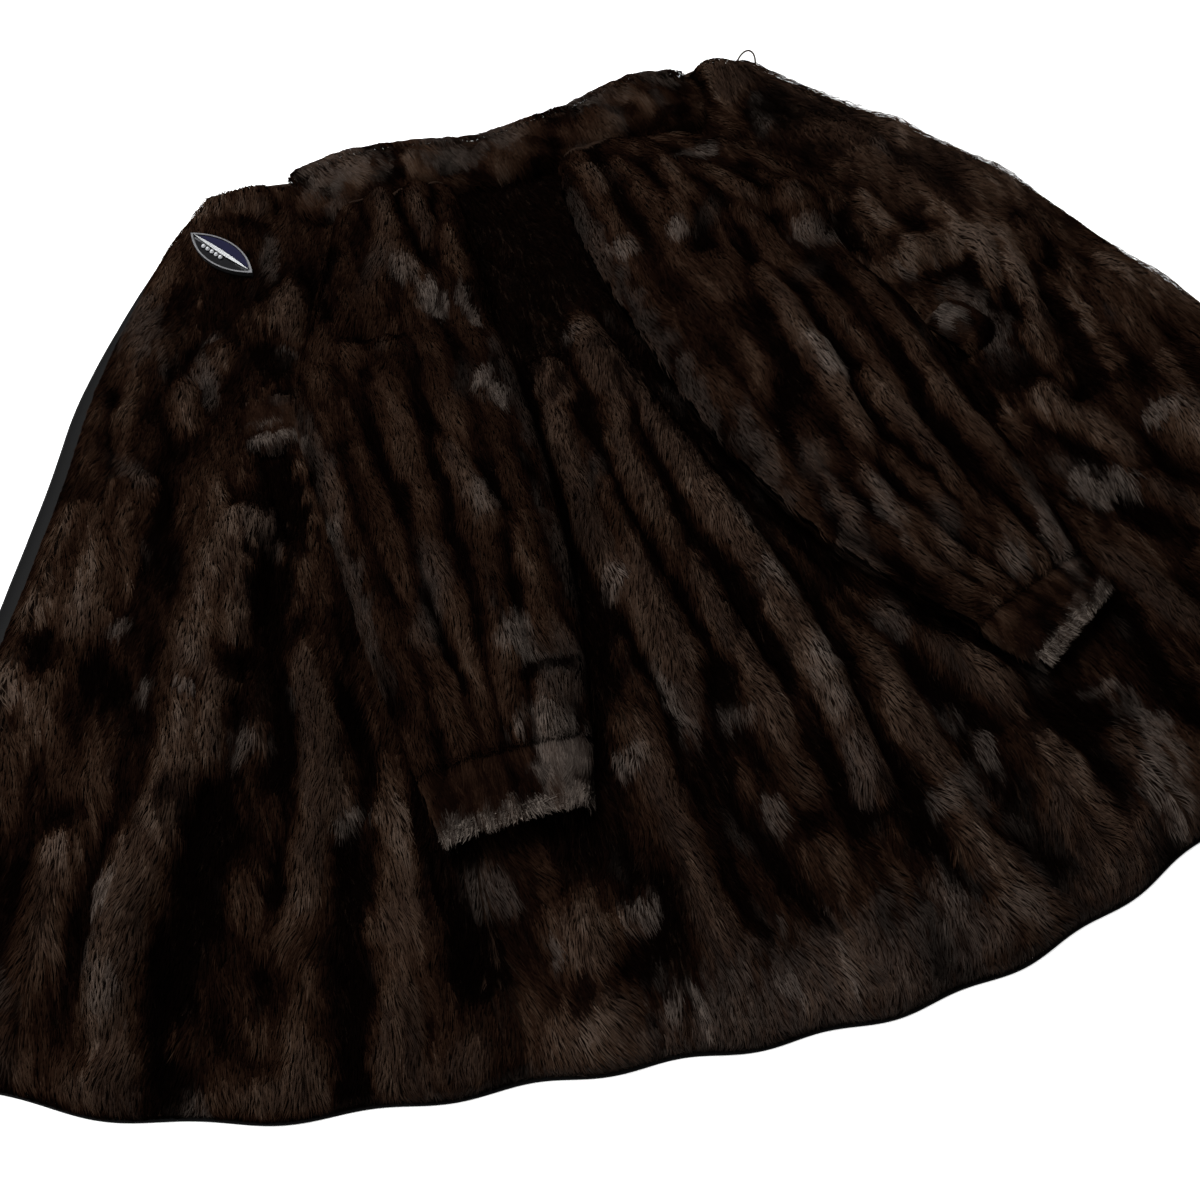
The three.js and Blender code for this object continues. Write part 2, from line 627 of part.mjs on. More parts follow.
for (const pocket of pockets) {
  add(`pocket_lip_${pocket.side}`, pocketLip(pocket), furWarm);
}

add('lining_front_edge', liningFrontEdge(), satin);
add('lining_hem', liningHem(), satin);

const buttonGroup = new THREE.Group();
buttonGroup.position.set(...placed(button.x, button.y, button.z));
buttonGroup.rotation.z = button.turn;
coat.add(buttonGroup);
add('button_dish', buttonDish(), silver, buttonGroup);
add('button_face_upper', buttonFace(1), navy, buttonGroup);
add('button_face_lower', buttonFace(-1), black, buttonGroup);
add('button_ridge', buttonRidge(), silver, buttonGroup);
for (let i = 0; i < stoneCount; i += 1) {
  const mesh = add(`button_stone_${i + 1}`, stone(), clearStone, buttonGroup);
  const y = -(ridgeWide / 2 + stoneRadius + 2 * seam);
  mesh.position.set(-16 + 5 * i, y, dishFloor + 2 * seam + faceThick);
}

const loopMesh = add('button_loop', loopTube(), thread);
loopMesh.position.set(...placed(loop.x, loop.y, loop.z));
loopMesh.rotation.set(0, -loop.tilt, loop.turn, 'ZYX');

export default coat;
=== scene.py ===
# A dark brown mink swing coat, laid open on its lining with the fur side up.
# The shapes work in plan millimetres, y towards the collar; makeMesh moves them to the frame in metres.

import math

import bpy
import numpy as np
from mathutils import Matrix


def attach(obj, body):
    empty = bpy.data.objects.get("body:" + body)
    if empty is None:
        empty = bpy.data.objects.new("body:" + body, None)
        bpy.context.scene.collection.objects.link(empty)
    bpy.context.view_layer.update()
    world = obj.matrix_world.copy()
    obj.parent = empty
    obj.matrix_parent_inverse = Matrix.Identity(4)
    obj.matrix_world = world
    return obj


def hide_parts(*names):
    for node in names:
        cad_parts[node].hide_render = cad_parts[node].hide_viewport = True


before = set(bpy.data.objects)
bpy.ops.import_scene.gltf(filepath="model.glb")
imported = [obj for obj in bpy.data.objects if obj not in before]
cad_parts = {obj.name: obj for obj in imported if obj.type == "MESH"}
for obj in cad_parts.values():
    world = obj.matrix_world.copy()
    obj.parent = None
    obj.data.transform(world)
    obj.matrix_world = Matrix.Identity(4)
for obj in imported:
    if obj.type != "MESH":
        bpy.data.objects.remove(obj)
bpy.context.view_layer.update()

planMiddle = (-20.5, 490.6)  # the place of the frame's origin in the plan
mm = 0.001

# The camera comes first: it looks down over the hem, turned a little to the right
view = dict(place=(-0.2145, -0.4906, 0.748), tilt=30.0, turn=-20.5, lens=36.9)


def makeCamera():
    data = bpy.data.cameras.new("camera")
    data.sensor_width = 36
    data.lens = view["lens"]
    data.clip_start = 0.01
    camera = bpy.data.objects.new("camera", data)
    camera.location = view["place"]
    camera.rotation_euler = (math.radians(view["tilt"]), 0, math.radians(view["turn"]))
    bpy.context.scene.collection.objects.link(camera)
    bpy.context.scene.camera = camera


makeCamera()
print("camera placed")

# Small mathematics, all on whole arrays


def mix(a, b, t):
    return a + (b - a) * t


def smooth(low, high, value):
    t = np.clip((value - low) / (high - low), 0, 1)
    return t * t * (3 - 2 * t)


def through(values, t):
    # smooth curve through values that are evenly spaced in t from 0 to 1, with its ends held
    values = np.asarray(values, float)
    last = len(values) - 1
    place = np.clip(t, 0, 1) * last
    i = np.minimum(np.floor(place), last - 1).astype(int)
    f = place - i
    a, b, c, d = (values[np.clip(i + k, 0, last)] for k in (-1, 0, 1, 2))
    return b + 0.5 * f * (c - a + f * (2 * a - 5 * b + 4 * c - d + f * (3 * (b - c) + d - a)))


def cloud(x, y, size, seed, waves=9):
    # soft noise between about -1 and 1: a sum of sine waves with mixed directions and lengths near size
    rng = np.random.default_rng(seed)
    total = np.zeros(np.broadcast(x, y).shape)
    for _ in range(waves):
        turn = rng.uniform(0, 2 * math.pi)
        length = size * rng.uniform(0.7, 1.6)
        phase = rng.uniform(0, 2 * math.pi)
        total += np.sin((x * math.cos(turn) + y * math.sin(turn)) * 2 * math.pi / length + phase)
    return total / math.sqrt(waves)


# The body: the outline, folds and swellings of the coat as it lies
body = dict(
    pelt=12.0,  # leather, lining and standing pile
    edgePile=5.0,
    edgeTaper=18.0,
    foldSlack=3.0,
    hemRadius=1090.0,
    hemCentre=(10.0, 1168.0),
    hemSwell=6.5,  # the hem lies in two broad swells
    hemSwellTurns=8.05,
    hemSwellAt=0.09,
    hemSwellDrop=1.3,
    hemWaves=13,
    hemWaveDepth=1.8,
    sideSeamAt=0.36,
    furDepth=5.0,  # how far the leather lies below the tips of the fur
    leftEdge=[(-258, 896), (-312, 832), (-380, 720), (-428, 615), (-516, 443), (-612, 273)],
    rightEdge=[(254, 878), (340, 768), (395, 684), (433, 582), (469, 490), (582, 240)],
    topEdge=[(-258, 896), (-212, 892), (-127, 877), (0, 866), (105, 876), (205, 905), (254, 878)],
)

# Long folds: upper and lower y, crest x at the upper end, middle and lower end, widths and height
bodyFolds = [
    (620, 350, (-66, -71, -72), 9, 12, 12),
    (640, 265, (-50, -44, -68), 14, 24, 16),
    (640, 180, (-14, -14, -14), 14, 10, 12),
    (640, 160, (-8, 22, 27), 20, 11, 20),
    (480, 150, (48, 66, 84), 16, 14, 7),
    (330, 105, (58, 66, 72), 14, 12, 7),
    (330, 100, (-98, -100, -98), 14, 14, 7),
    (330, 100, (120, 150, 175), 18, 14, 8),
    (330, 110, (250, 300, 350), 18, 14, 9),
    (260, 110, (-160, -172, -190), 16, 16, 6),
    (440, 250, (-283, -300, -318), 14, 12, 8),
    (580, 190, (-288, -362, -458), 36, 11, 13),
    (780, 480, (-322, -362, -415), 26, 20, 5),
    (420, 190, (-430, -478, -525), 26, 16, 6),
    (300, 130, (-262, -285, -310), 16, 14, 6),
    (480, 260, (290, 322, 352), 14, 18, 9),
    (430, 210, (372, 412, 446), 18, 16, 8),
    (800, 620, (268, 300, 322), 20, 24, 7),
]

# Swellings and dips: middle, half sizes and height
bodyLumps = [
    (202, 868, 32, 24, 22),
    (298, 592, 52, 40, 20),
    (368, 660, 34, 44, 9),
    (432, 520, 30, 30, 9),
    (360, 560, 26, 30, -4),
    (330, 762, 30, 26, 6),
    (-222, 868, 34, 20, 8),
    (-230, 740, 22, 34, 7),
]

leftSleeve = dict(
    rows=[
        (-163, 816, -66, 816, 30),
        (-180, 770, -66, 768, 42),
        (-212, 700, -74, 697, 44),
        (-236, 652, -80, 655, 35),
        (-247, 600, -80, 602, 44),
        (-248, 500, -88, 500, 46),
        (-247, 400, -104, 396, 42),
        (-243, 314, -128, 303, 32),
        (-240, 270, -140, 265, 29),
    ],
    # folds: place across at the head, middle and cuff, share of the length, width and height
    folds=[
        ((-0.78, -0.86, -0.72), 0.0, 1.0, 0.12, 4),
        ((-0.42, -0.5, -0.45), 0.3, 1.0, 0.12, 7),
        ((-0.05, -0.14, -0.16), 0.34, 1.0, 0.11, 6),
        ((0.3, 0.3, 0.16), 0.3, 1.0, 0.14, 7),
        ((0.75, 0.7, 0.5), 0.28, 1.0, 0.14, 6),
        ((-0.2, -0.2, -0.2), 0.0, 0.3, 0.16, 7),
        ((0.4, 0.4, 0.4), 0.0, 0.3, 0.2, 8),
    ],
)
rightSleeve = dict(
    rows=[
        (32, 814, 120, 800, 30),
        (18, 764, 176, 752, 44),
        (13, 700, 214, 688, 48),
        (17, 640, 208, 622, 44),
        (26, 560, 228, 545, 46),
        (42, 470, 231, 450, 46),
        (80, 370, 236, 378, 42),
        (138, 286, 237, 314, 32),
        (165, 247, 241, 287, 29),
    ],
    folds=[
        ((-0.8, -0.84, -0.7), 0.0, 1.0, 0.12, 6),
        ((-0.35, -0.45, -0.42), 0.05, 1.0, 0.11, 7),
        ((0.0, -0.06, -0.1), 0.1, 1.0, 0.11, 9),
        ((0.3, 0.32, 0.22), 0.15, 1.0, 0.11, 8),
        ((0.6, 0.74, 0.6), 0.0, 1.0, 0.14, 7),
        ((0.82, 0.9, 0.9), 0.0, 0.34, 0.16, 8),
    ],
)
sleeve = dict(
    cuffAt=7 / 8,  # share of the length where the cuff begins
    seam=0.3 / 42 / 8,  # the gap between sleeve and cuff, as a share of the length
    gap=0.4,  # clear of the body below
    underWall=6.0,
    overWall=8.0,
    sideWall=13.0,
    edgeShare=0.42,
    furDepth=5.0,
    furSide=4.0,
)

# The collar: x, low and top edge and height along it
collar = dict(
    rows=[
        (-190, 828, 884, 14),
        (-142, 822, 884, 25),
        (-94, 822, 879, 27),
        (-44, 822, 869, 20),
        (8, 820, 866, 25),
        (62, 820, 872, 29),
        (118, 818, 886, 32),
        (172, 822, 898, 21),
    ],
    seam=0.3,
    furDepth=5.0,
)

# Smaller creases of the body: two ends, bow, width and height; troughs have negative heights
bodyCreases = [
    (-250, 715, -243, 672, 6, 12, -8),
    (-275, 790, -262, 752, 0, 20, -6),
    (-201, 699, -243, 632, 3, 7, 6),
    (-278, 715, -300, 690, 0, 9, 5),
    (-292, 738, -330, 708, 0, 8, -6),
    (-318, 692, -320, 652, 0, 8, 5),
    (-303, 692, -300, 665, 0, 7, -6),
    (-366, 712, -362, 688, 0, 12, -5),
    (-290, 665, -306, 548, -4, 14, 6),
    (-307, 548, -368, 380, 17, 15, 7),
    (-368, 382, -402, 352, -3, 10, 6),
    (-402, 355, -450, 238, 11, 10, 6),
    (-352, 445, -366, 378, 3, 6, -7),
    (-366, 378, -407, 300, -4, 7, -7),
    (-407, 300, -420, 255, 0, 6, -5),
    (-428, 280, -441, 228, 0, 7, -5),
    (-452, 300, -464, 262, 0, 7, -5),
    (-330, 458, -331, 434, 0, 11, -8),
    (-350, 413, -334, 413, 0, 6, -6),
    (-306, 468, -336, 371, -2, 7, 5),
    (-292, 520, -312, 440, 0, 12, -8),
    (-312, 440, -318, 355, -6, 12, -7),
    (-284, 402, -290, 318, 4, 12, 6),
    (-257, 400, -270, 318, 0, 9, -8),
    (-272, 318, -300, 268, 0, 5, -5),
    (-255, 340, -268, 300, 0, 9, 5),
    (-250, 528, -239, 428, 5, 8, 6),
    (-451, 524, -453, 486, 0, 14, -7),
    (-420, 485, -411, 442, 0, 10, -6),
    (-456, 388, -455, 366, 0, 12, -6),
    (-478, 468, -478, 446, 0, 9, -5),
    (-452, 536, -420, 505, -3, 7, 4),
    (-411, 254, -411, 228, 0, 9, -7),
    (-422, 208, -422, 182, 0, 14, -7),
    (-464, 222, -446, 222, 0, 6, -5),
    (-354, 282, -330, 281, 0, 7, -6),
    (-315, 208, -297, 207, 0, 6, -6),
    (-360, 245, -366, 215, 0, 8, -5),
    (-236, 235, -242, 178, 2, 12, -8),
    (-280, 184, -281, 162, 0, 7, -5),
    (-380, 185, -350, 184, 0, 7, -5),
    (-341, 159, -309, 158, 0, 6, -5),
    (-345, 190, -351, 152, 0, 9, 4),
    (-289, 192, -290, 158, 0, 9, 5),
    (-296, 240, -278, 240, 0, 9, 4),
    (-250, 312, -259, 270, 0, 4, -5),
    (-187, 236, -232, 220, -4, 9, -6),
    (-150, 266, -192, 206, 0, 12, 5),
    (-152, 182, -117, 204, 0, 7, 6),
    (-192, 160, -128, 178, 2, 8, -7),
    (-126, 182, -108, 216, -3, 7, -7),
    (-192, 130, -192, 112, 0, 13, -5),
    (-251, 140, -251, 124, 0, 11, -4),
    (-156, 138, -156, 116, 0, 8, -4),
    (-58, 660, -56, 604, 0, 14, -8),
    (-17, 640, -23, 445, 8, 10, 6),
    (-45, 560, -33, 345, 2, 6, -7),
    (-34, 328, -34, 302, 0, 13, -8),
    (-66, 545, -72, 405, 1, 7, 6),
    (-87, 500, -89, 412, 0, 6, -8),
    (-57, 505, -69, 402, 0, 4, -5),
    (-52, 510, -70, 298, -3, 12, 5),
    (-76, 396, -81, 290, -6, 6, -8),
    (-84, 412, -117, 326, -4, 8, -8),
    (-88, 372, -84, 316, 0, 9, 5),
    (-9, 565, -8, 392, 1, 8, -8),
    (-4, 378, 6, 298, 0, 10, -8),
    (24, 512, 28, 300, 0, 9, 6),
    (33, 502, 42, 448, 0, 6, -7),
    (2, 648, 24, 526, 2, 8, -8),
    (-19, 368, -5, 268, -6, 9, 6),
    (30, 300, 33, 205, 2, 8, 6),
    (20, 294, 6, 210, 0, 6, -7),
    (12, 300, 8, 238, 0, 5, 4),
    (46, 224, 46, 204, 0, 10, -7),
    (0, 200, 36, 199, 0, 7, -7),
    (-32, 206, -10, 206, 0, 8, -7),
    (52, 292, 75, 210, 0, 14, 5),
    (72, 206, 94, 150, 6, 4, -5),
    (30, 164, 42, 114, 0, 9, 5),
    (60, 147, 60, 127, 0, 13, -5),
    (125, 144, 125, 120, 0, 15, -5),
    (162, 118, 188, 118, 0, 9, -5),
    (146, 237, 146, 210, 0, 13, -6),
    (154, 230, 166, 136, -8, 9, -8),
    (166, 238, 210, 110, 0, 10, 7),
    (118, 218, 135, 158, 0, 9, 4),
    (-25, 120, -25, 98, 0, 10, -5),
    (17, 114, 17, 94, 0, 13, -5),
    (238, 697, 230, 638, 0, 9, -8),
    (285, 674, 287, 638, 0, 18, -5),
    (262, 702, 262, 658, 0, 8, 4),
    (331, 604, 320, 528, 3, 7, -7),
    (340, 574, 332, 526, 0, 8, 6),
    (332, 532, 308, 501, 0, 8, 6),
    (354, 552, 344, 488, 0, 10, -9),
    (344, 494, 338, 448, 0, 14, -8),
    (334, 452, 306, 438, 0, 9, -7),
    (297, 492, 296, 472, 0, 8, -6),
    (385, 530, 392, 370, -4, 15, 6),
    (316, 368, 344, 364, 0, 8, -6),
    (300, 348, 300, 326, 0, 9, -6),
    (246, 394, 263, 358, 0, 5, -6),
    (384, 606, 371, 564, 0, 6, -6),
    (360, 624, 373, 586, 0, 8, 5),
    (430, 420, 470, 300, 6, 13, 6),
    (410, 400, 436, 296, 4, 9, -7),
    (330, 300, 372, 190, 6, 12, 6),
    (300, 280, 336, 176, 4, 9, -7),
    (252, 260, 290, 140, 5, 11, 6),
    (236, 236, 262, 150, 3, 8, -6),
    (500, 330, 536, 250, 0, 11, -6),
]

# Painted sheen, pale places where the fur catches the light: middle, half sizes and strength
bodySheenPatches = [
    (-433, 312, 7, 13, 0.6),
    (-398, 500, 8, 6, 0.5),
    (-388, 443, 5, 9, 0.5),
    (-364, 435, 4, 6, 0.5),
    (-338, 385, 12, 11, 0.35),
    (-287, 310, 9, 10, 0.7),
    (-445, 262, 7, 22, 0.35),
    (-412, 178, 6, 10, 0.35),
    (-300, 697, 10, 9, 0.35),
    (-290, 735, 8, 5, 0.4),
    (-238, 700, 7, 10, 0.4),
    (-332, 770, 14, 40, 0.2),
    (-107, 285, 10, 9, 0.5),
    (-38, 293, 11, 8, 0.45),
    (-40, 222, 5, 12, 0.4),
    (-70, 315, 6, 26, 0.5),
    (-72, 412, 6, 10, 0.6),
    (-25, 630, 7, 7, 0.35),
    (31, 425, 5, 22, 0.5),
    (29, 372, 6, 12, 0.55),
    (33, 310, 7, 12, 0.8),
    (27, 282, 5, 20, 0.4),
    (91, 244, 8, 11, 0.5),
    (105, 212, 6, 14, 0.4),
    (80, 195, 12, 14, 0.3),
    (62, 190, 10, 10, 0.35),
    (-134, 192, 14, 8, 0.6),
    (-195, 190, 5, 8, 0.4),
    (-126, 127, 4, 15, 0.6),
    (-140, 136, 6, 8, 0.5),
    (-72, 120, 8, 12, 0.5),
    (-40, 118, 5, 16, 0.55),
    (200, 227, 14, 4, 0.6),
    (212, 190, 12, 26, 0.5),
    (196, 155, 9, 26, 0.55),
    (283, 372, 14, 16, 0.65),
    (306, 366, 8, 12, 0.6),
    (366, 410, 16, 8, 0.55),
    (392, 385, 8, 26, 0.4),
    (287, 540, 16, 42, 0.35),
    (252, 608, 6, 9, 0.4),
    (40, 135, 8, 18, 0.35),
    (78, 115, 10, 10, 0.3),
    (-50, 116, 120, 30, 0.2),
    (130, 120, 70, 50, 0.06),
]

# Painted shade, dark places in the pockets, hollows and valleys and beside the sleeves and cuffs: middle, half
# sizes and strength
bodyPaintedShades = [
    (-272, 572, 20, 50, 1.0),
    (-296, 490, 17, 44, 0.95),
    (-315, 410, 13, 52, 0.7),
    (-58, 640, 24, 44, 0.95),
    (-247, 692, 12, 36, 0.95),
    (-272, 772, 34, 30, 0.6),
    (-255, 800, 26, 18, 0.6),
    (-88, 460, 6, 60, 0.95),
    (-96, 372, 7, 50, 0.9),
    (-75, 345, 4, 50, 0.9),
    (-9, 480, 7, 90, 0.85),
    (2, 336, 11, 40, 0.85),
    (14, 590, 8, 60, 0.95),
    (37, 475, 6, 28, 0.95),
    (-42, 480, 5, 80, 0.75),
    (-34, 318, 13, 14, 0.85),
    (46, 214, 11, 10, 0.8),
    (18, 199, 20, 6, 0.8),
    (-21, 206, 12, 7, 0.8),
    (252, 522, 15, 12, 1.0),
    (275, 488, 26, 28, 0.75),
    (351, 520, 10, 36, 0.85),
    (338, 462, 16, 20, 0.8),
    (234, 668, 9, 32, 0.9),
    (-453, 504, 14, 18, 0.7),
    (-415, 464, 9, 24, 0.6),
    (-422, 194, 15, 15, 0.75),
    (-411, 240, 9, 13, 0.7),
    (-456, 377, 12, 12, 0.6),
    (-239, 206, 10, 30, 0.8),
    (-190, 160, 15, 11, 0.75),
    (-113, 196, 6, 24, 0.7),
    (146, 222, 14, 20, 0.7),
    (164, 178, 8, 42, 0.75),
    (-380, 352, 10, 18, 0.7),
    (-330, 446, 11, 13, 0.7),
]

leftSleeve["tone"] = 0.33
rightSleeve["tone"] = 0.37
leftSleeve["creases"] = [
    (-127, 828, -131, 708, 0, 9, 6),
    (-115, 815, -113, 710, 0, 6, -6),
    (-104, 800, -104, 735, 0, 7, 5),
    (-93, 795, -95, 760, 0, 6, -5),
    (-87, 745, -92, 698, 0, 7, 5),
    (-169, 775, -200, 690, 0, 8, -6),
    (-197, 673, -146, 661, 3, 8, -7),
    (-190, 641, -160, 650, 0, 8, 5),
    (-203, 650, -192, 488, 2, 7, -6),
    (-163, 592, -136, 508, 0, 6, -6),
    (-152, 545, -139, 460, 0, 8, 6),
    (-141, 505, -126, 475, 0, 6, -5),
    (-201, 437, -197, 360, 0, 8, -7),
    (-146, 427, -138, 403, 0, 9, -6),
    (-160, 355, -112, 354, -3, 6, -7),
    (-131, 344, -155, 318, 0, 7, 5),
    (-112, 345, -131, 306, 0, 7, 5),
    (-221, 340, -226, 307, 0, 5, -5),
    (-237, 352, -238, 318, 0, 7, 4),
    (-235, 560, -243, 405, 4, 8, 4),
    (-218, 644, -225, 576, 0, 8, 5),
    (-86, 652, -89, 490, -6, 7, 5),
    (-90, 480, -112, 345, -2, 7, 5),
]
# Painted sheen, pale places where the fur catches the light: middle, half sizes and strength
leftSleeve["patches"] = [
    (-119, 685, 9, 12, 0.6),
    (-94, 672, 5, 18, 0.5),
    (-104, 582, 8, 16, 0.6),
    (-152, 380, 9, 18, 0.55),
    (-243, 508, 6, 10, 0.4),
    (-243, 592, 6, 6, 0.4),
    (-143, 490, 6, 12, 0.45),
    (-131, 715, 8, 12, 0.4),
    (-152, 300, 16, 30, 0.6),
    (-236, 560, 6, 60, 0.12),
    (-240, 450, 6, 60, 0.16),
    (-90, 560, 6, 80, 0.12),
    (-104, 410, 6, 70, 0.16),
]
rightSleeve["creases"] = [
    (24, 772, 20, 668, 0, 6, 4),
    (60, 812, 97, 740, -10, 9, 6),
    (97, 744, 84, 670, -3, 9, 6),
    (54, 795, 54, 674, 0, 8, -8),
    (42, 772, 42, 740, 0, 7, 5),
    (92, 647, 87, 598, 0, 14, 5),
    (118, 652, 112, 563, 0, 8, -7),
    (123, 620, 131, 513, 0, 9, 7),
    (131, 520, 111, 400, -2, 9, 7),
    (111, 404, 131, 298, 3, 8, 6),
    (146, 557, 150, 498, 0, 9, -8),
    (141, 484, 136, 428, 0, 7, -7),
    (95, 512, 74, 463, 0, 12, -7),
    (74, 467, 91, 343, 4, 8, -7),
    (148, 480, 170, 368, 0, 9, 6),
    (170, 372, 181, 320, 0, 8, 6),
    (172, 457, 178, 358, 0, 7, -7),
    (158, 757, 210, 695, -5, 9, 6),
    (210, 697, 210, 633, -4, 9, 6),
    (210, 635, 195, 620, 0, 8, 5),
    (157, 739, 198, 688, 0, 9, -8),
    (106, 749, 144, 688, -4, 8, 5),
    (144, 690, 189, 683, 4, 8, 5),
    (128, 683, 143, 664, 0, 7, 4),
    (159, 676, 159, 660, 0, 9, -7),
    (192, 620, 200, 471, 0, 8, 5),
    (200, 473, 212, 405, 0, 8, 5),
    (146, 348, 172, 310, 0, 5, -6),
    (129, 342, 152, 306, 0, 5, -6),
    (40, 427, 101, 300, 6, 8, 4),
]
# Painted sheen, pale places where the fur catches the light: middle, half sizes and strength
rightSleeve["patches"] = [
    (35, 680, 9, 9, 0.5),
    (82, 675, 9, 7, 0.5),
    (131, 515, 8, 22, 0.8),
    (181, 322, 8, 14, 0.5),
    (187, 645, 18, 13, 0.45),
    (127, 756, 16, 6, 0.45),
    (215, 338, 7, 34, 0.4),
    (139, 262, 10, 14, 0.4),
    (113, 385, 6, 20, 0.35),
    (22, 710, 6, 60, 0.16),
    (28, 610, 6, 50, 0.14),
    (38, 530, 6, 50, 0.16),
    (56, 455, 7, 45, 0.18),
    (88, 375, 7, 45, 0.2),
]

# Pockets; pale lists painted highlights on the lip's edge: middle, half sizes and strength
pockets = [
    dict(side="left", x=-270, y=566, wide=13, long=44, lipX=-264, lipY=632, turn=-0.12,
         pale=[(-262, 616, 13, 4, 0.55), (-270, 634, 10, 3, 0.25)]),
    dict(side="right", x=250, y=486, wide=12, long=38, lipX=266, lipY=536, turn=0.5,
         pale=[(256, 552, 9, 12, 0.4)]),
]
pocketDeep = 8
lip = dict(wide=34, long=40, thick=8, arch=5, seam=0.3)
button = dict(x=-263, y=813, long=73)


def hemAngle(point):
    return math.atan2(point[0] - body["hemCentre"][0], body["hemCentre"][1] - point[1])


def stripPhase(u):
    # the pelt strips and the scallops of the hem share this phase
    return body["hemWaves"] * math.pi * u + 2 * np.sin(3 * u)


def hemPoint(u):
    # an arc about hemCentre between the two hem corners, with shallow scallops that die out at its ends
    angle = mix(hemAngle(body["leftEdge"][-1]), hemAngle(body["rightEdge"][-1]), (u + 1) / 2)
    calm = 1 - smooth(0.93, 1, np.abs(u))
    swell = body["hemSwell"] * (np.cos(body["hemSwellTurns"] * (u - body["hemSwellAt"])) - body["hemSwellDrop"])
    radius = body["hemRadius"] + calm * (swell + body["hemWaveDepth"] * np.cos(stripPhase(u)))
    cx, cy = body["hemCentre"]
    return np.stack([cx + radius * np.sin(angle), cy - radius * np.cos(angle)], -1)


def edgePoint(points, t):
    points = np.array(points, float)
    return np.stack([through(points[:, 0], t), through(points[:, 1], t)], -1)


def bodyPlan(u, v):
    # each pair of edges is blended across the patch, and the blend of the four corners is taken off
    s = ((u + 1) / 2)[..., None]
    w = v[..., None]
    top, hem = edgePoint(body["topEdge"], s[..., 0]), hemPoint(u)
    left, right = edgePoint(body["leftEdge"], v), edgePoint(body["rightEdge"], v)
    topLeft, topRight = np.array(body["topEdge"][0]), np.array(body["topEdge"][-1])
    hemLeft, hemRight = hemPoint(np.array(-1.0)), hemPoint(np.array(1.0))
    corners = mix(mix(topLeft, topRight, s), mix(hemLeft, hemRight, s), w)
    return mix(top, hem, w) + mix(left, right, s) - corners


def sleeveEdge(rows, side, y):
    # the x of a sleeve's edge at a height y of the plan
    table = np.array(rows, float)[::-1]
    return np.interp(y, table[:, 2 * side + 1], table[:, 2 * side])


def coverOf(x, y):
    # how far a place is covered by something that lies flat on it, from 0 to 1
    def under(left, right, low, high, clear=8, fade=18):
        across = np.minimum(x - left, right - x)
        along = np.minimum(y - low, high - y)
        return smooth(-fade, -clear, across) * smooth(-64, -42, along)

    covers = [under(collar["rows"][0][0], collar["rows"][-1][0], 818, 960, 14, 30)]
    for one in (leftSleeve, rightSleeve):
        low = min(one["rows"][-1][1], one["rows"][-1][3])
        covers.append(under(sleeveEdge(one["rows"], 0, y), sleeveEdge(one["rows"], 1, y), low, 830))
    for p in pockets:
        halfWide, halfLong = lip["wide"] / 2, lip["long"] / 2
        sides = (p["lipX"] - halfWide, p["lipX"] + halfWide, p["lipY"] - halfLong, p["lipY"] + halfLong)
        covers.append(under(*sides, 24, 36))
    away = np.hypot(x - button["x"], y - button["y"])
    covers.append(1 - smooth(button["long"] * 0.76, button["long"] * 0.94, away))
    return np.maximum.reduce(covers)


def foldHeight(fold, x, y):
    # a ridge with its own width on each side of the crest, which fades in and out along its length
    yTop, yLow, crest, left, right, high = fold
    t = (yTop - y) / (yTop - yLow)
    away = x - through(crest, t) + 2.0 * np.sin(t * 9 + yTop)
    ends = smooth(-0.1, 0.15, t) * (1 - smooth(0.72, 1.1, t))
    return high * ends * np.exp(-((away / np.where(away < 0, left, right)) ** 2))


def creaseHeight(creases, x, y):
    # a soft ridge or trough between two ends, bowed to one side, with rounded ends
    total = np.zeros(np.shape(x))
    for x0, y0, x1, y1, bow, wide, high in creases:
        length = math.hypot(x1 - x0, y1 - y0)
        along = ((x - x0) * (x1 - x0) + (y - y0) * (y1 - y0)) / length**2
        aside = ((x - x0) * (y1 - y0) - (y - y0) * (x1 - x0)) / length
        away = (aside - bow * 4 * along * (1 - along)) / wide
        fade = max(0.15, 0.5 * wide / length)
        ends = smooth(-fade, fade, along) * (1 - smooth(1 - fade, 1 + fade, along))
        total = total + high * ends * np.exp(-np.minimum(away**2, 30))
    return total


def patchOf(patches, x, y):
    # how strongly the listed patches mark a place, from 0 to 1, with a ragged border
    ragged = 0.35 * cloud(x, y * 0.4, 9, 27)
    total = np.zeros(np.shape(x))
    for px, py, wide, tall, strength in patches:
        away = np.hypot((x - px) / wide, (y - py) / tall) + ragged
        total = np.maximum(total, strength * (1 - smooth(0.5, 1.5, away)))
    return total


def lumpHeight(lump, x, y):
    return lump[4] * np.exp(-(((x - lump[0]) / lump[2]) ** 2) - ((y - lump[1]) / lump[3]) ** 2)


def bodyLift(x, y, u, v):
    total = sum(foldHeight(fold, x, y) for fold in bodyFolds)
    total = total + sum(lumpHeight(lump, x, y) for lump in bodyLumps)
    ripple = 3.5 * v * v * (0.5 + 0.5 * np.cos(stripPhase(u)))
    return np.maximum(0, total + ripple) * (1 - coverOf(x, y))


def pocketDip(x, y):
    dips = []
    for p in pockets:
        away = np.hypot((x - p["x"]) / p["wide"], ((y - p["y"]) / p["long"]) ** 3)
        dips.append(pocketDeep * (1 - smooth(0.75, 1.1, away)))
    return np.maximum.reduce(dips)


